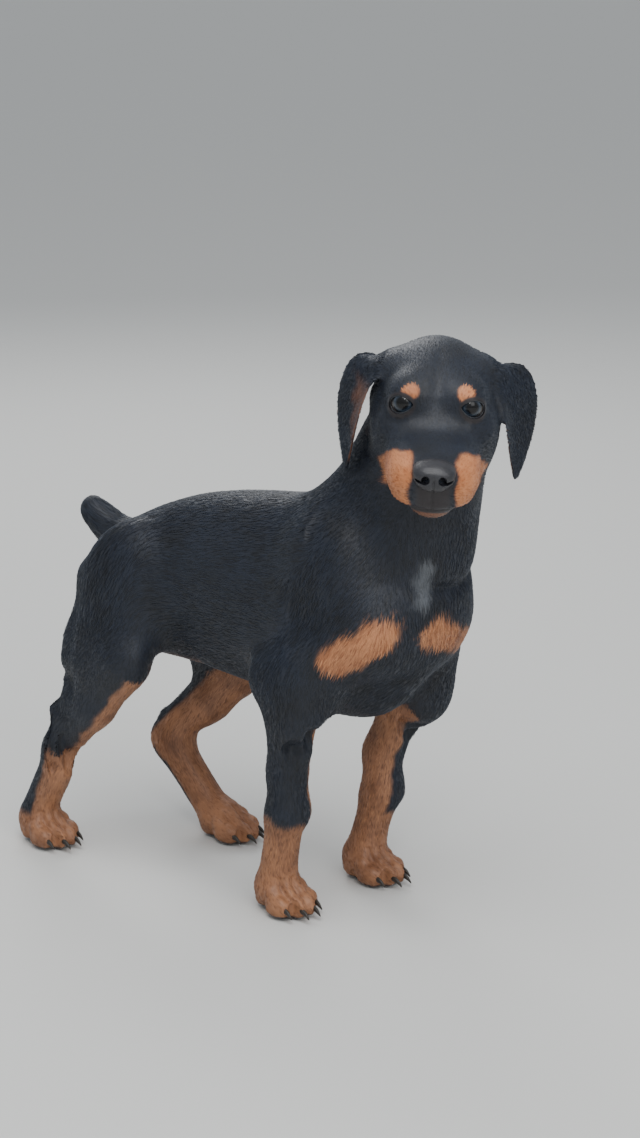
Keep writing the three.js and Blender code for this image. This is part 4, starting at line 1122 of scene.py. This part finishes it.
for name, grown, spacing, lengths, width in COAT_AREAS:
    faces = np.flatnonzero(grown)
    share = areas[faces] / areas[faces].sum()
    tries = int(areas[faces].sum() / (spacing * MM) ** 2 * TRIES_TO_A_LOCK)
    picked = chance.choice(faces, size=tries, p=share)
    r1, r2 = np.sqrt(chance.random(tries)), chance.random(tries)
    weights = np.stack([1 - r1, r1 * (1 - r2), r1 * r2], axis=1)
    roots = np.einsum("ij,ijk->ik", weights, skin_points[corners[picked]])
    normals = np.einsum("ij,ijk->ik", weights, skin_normals[corners[picked]])
    normals /= np.linalg.norm(normals, axis=1)[:, None]
    # One root to each small cell of space keeps the locks evenly set
    cells = np.floor(roots / (spacing * MM)).astype(np.int64)
    _, first = np.unique(cells @ np.array([73856093, 19349663, 83492791]), return_index=True)
    roots, normals = roots[first], normals[first]

    # No hair grows on the bare dark skin, the nose or the pads
    tan, dark, pale, bright_tan_less_chin_shade = markings(roots, normals)
    u, v, w = head_mm(model_mm(roots)).T
    bare = (dark > 0.55) | (np.linalg.norm(np.stack([u - 94, v, w + 15], axis=1), axis=1) < 14.5)
    for side in (RIGHT, LEFT):
        local = from_eye(roots, side)
        ring = np.hypot(local[:, 1] / (LID_HALF_WIDTH + 1.2), local[:, 2] / (UPPER_LID + 1.2))
        bare |= (local[:, 0] > -2) & (np.linalg.norm(local, axis=1) < 16) & (ring < 1)
    roots, normals = roots[~bare], normals[~bare]
    layers = [layer[~bare] for layer in (tan, dark, pale, bright_tan_less_chin_shade)]
    count = len(roots)
    from_muzzle = np.linalg.norm(head_mm(model_mm(roots)) - [70, 0, -15], axis=1)
    face_near = 1 - ramp(from_muzzle, 30, 75)
    foot_near = 1 - ramp(model_mm(roots)[:, 2], 20, 60)
    short = np.maximum(face_near, foot_near)
    length = (lengths[0] + (lengths[1] - lengths[0]) * chance.random(count)) * (1 - 0.3 * short) * MM
    girth = width * (0.75 + 0.5 * chance.random(count)) * (1 - 0.25 * short) * MM
    way, chart = comb(roots, normals)
    side_way = np.cross(normals, way)
    way = way + side_way * (chance.normal(0, 0.11, count))[:, None]
    way /= np.linalg.norm(way, axis=1)[:, None]
    rise = (0.34 + 0.22 * chance.random(count)) * (1 - 0.35 * short) * MM
    middle, middle_normal = nearest_on_skin(roots + way * (0.5 * length)[:, None])
    tip, tip_normal = nearest_on_skin(roots + way * length[:, None])
    middle += middle_normal * rise[:, None]
    tip += tip_normal * (rise * (0.55 + 0.5 * chance.random(count)))[:, None]
    side_way = np.cross(normals, way)
    half = (side_way.T * girth / 2).T
    shape = np.stack(
        [
            roots - half - normals * ROOT_DEPTH,
            roots + half - normals * ROOT_DEPTH,
            roots + normals * LOCK_RIDGE,
            middle - half * 0.85,
            middle + half * 0.85,
            middle + middle_normal * LOCK_RIDGE,
            tip,
        ],
        axis=1,
    )
    base = (np.arange(count) * 7)[:, None]
    quads = np.array([[0, 1, 4, 3], [1, 2, 5, 4], [2, 0, 3, 5]])
    triangles = np.array([[0, 2, 1], [3, 4, 6], [4, 5, 6], [5, 3, 6]])
    loops = np.concatenate([(base[:, :, None] + kind).reshape(-1) for kind in (quads, triangles)])
    starts = np.concatenate([np.arange(count * 3) * 4, count * 12 + np.arange(count * 4) * 3])
    coat = bpy.data.objects.new(name, bpy.data.meshes.new(name))
    bpy.context.scene.collection.objects.link(coat)
    coat.data.vertices.add(count * 7)
    coat.data.vertices.foreach_set("co", shape.ravel())
    coat.data.loops.add(len(loops))
    coat.data.loops.foreach_set("vertex_index", loops.astype(np.int32))
    coat.data.polygons.add(len(starts))
    coat.data.polygons.foreach_set("loop_start", starts.astype(np.int32))
    coat.data.update(calc_edges=True)
    # Each lock has a small spot of its own on the coat's chart, near the spot of the skin under it
    spot = np.array([[-1, -1], [1, -1], [0, -0.6], [-0.8, 0.2], [0.8, 0.2], [0, 0.3], [0, 1]]) * 0.0015
    at = (chart[:, None, :] + spot[None]).reshape(-1, 2)
    coat.data.uv_layers.new(name="OFBake").data.foreach_set("uv", at[loops].astype(np.float32).ravel())
    paint(coat, [np.repeat(layer, 7) for layer in layers], np.repeat(0.25 + 0.75 * chance.random(count), 7))
    only(coat)
    bpy.ops.object.shade_smooth()
    # Sleek hair takes the light as the body under it does, so each lock leans to the skin's normal
    leaning = np.stack([normals] * 3 + [middle_normal] * 3 + [tip_normal], axis=1).reshape(-1, 3)
    leaning = SKIN_SHARE * leaning + 0.2 * normals_of(coat)
    coat.data.normals_split_custom_set_from_vertices(leaning / np.linalg.norm(leaning, axis=1)[:, None])
    dress(coat, lock_material)
    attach(coat, "root")
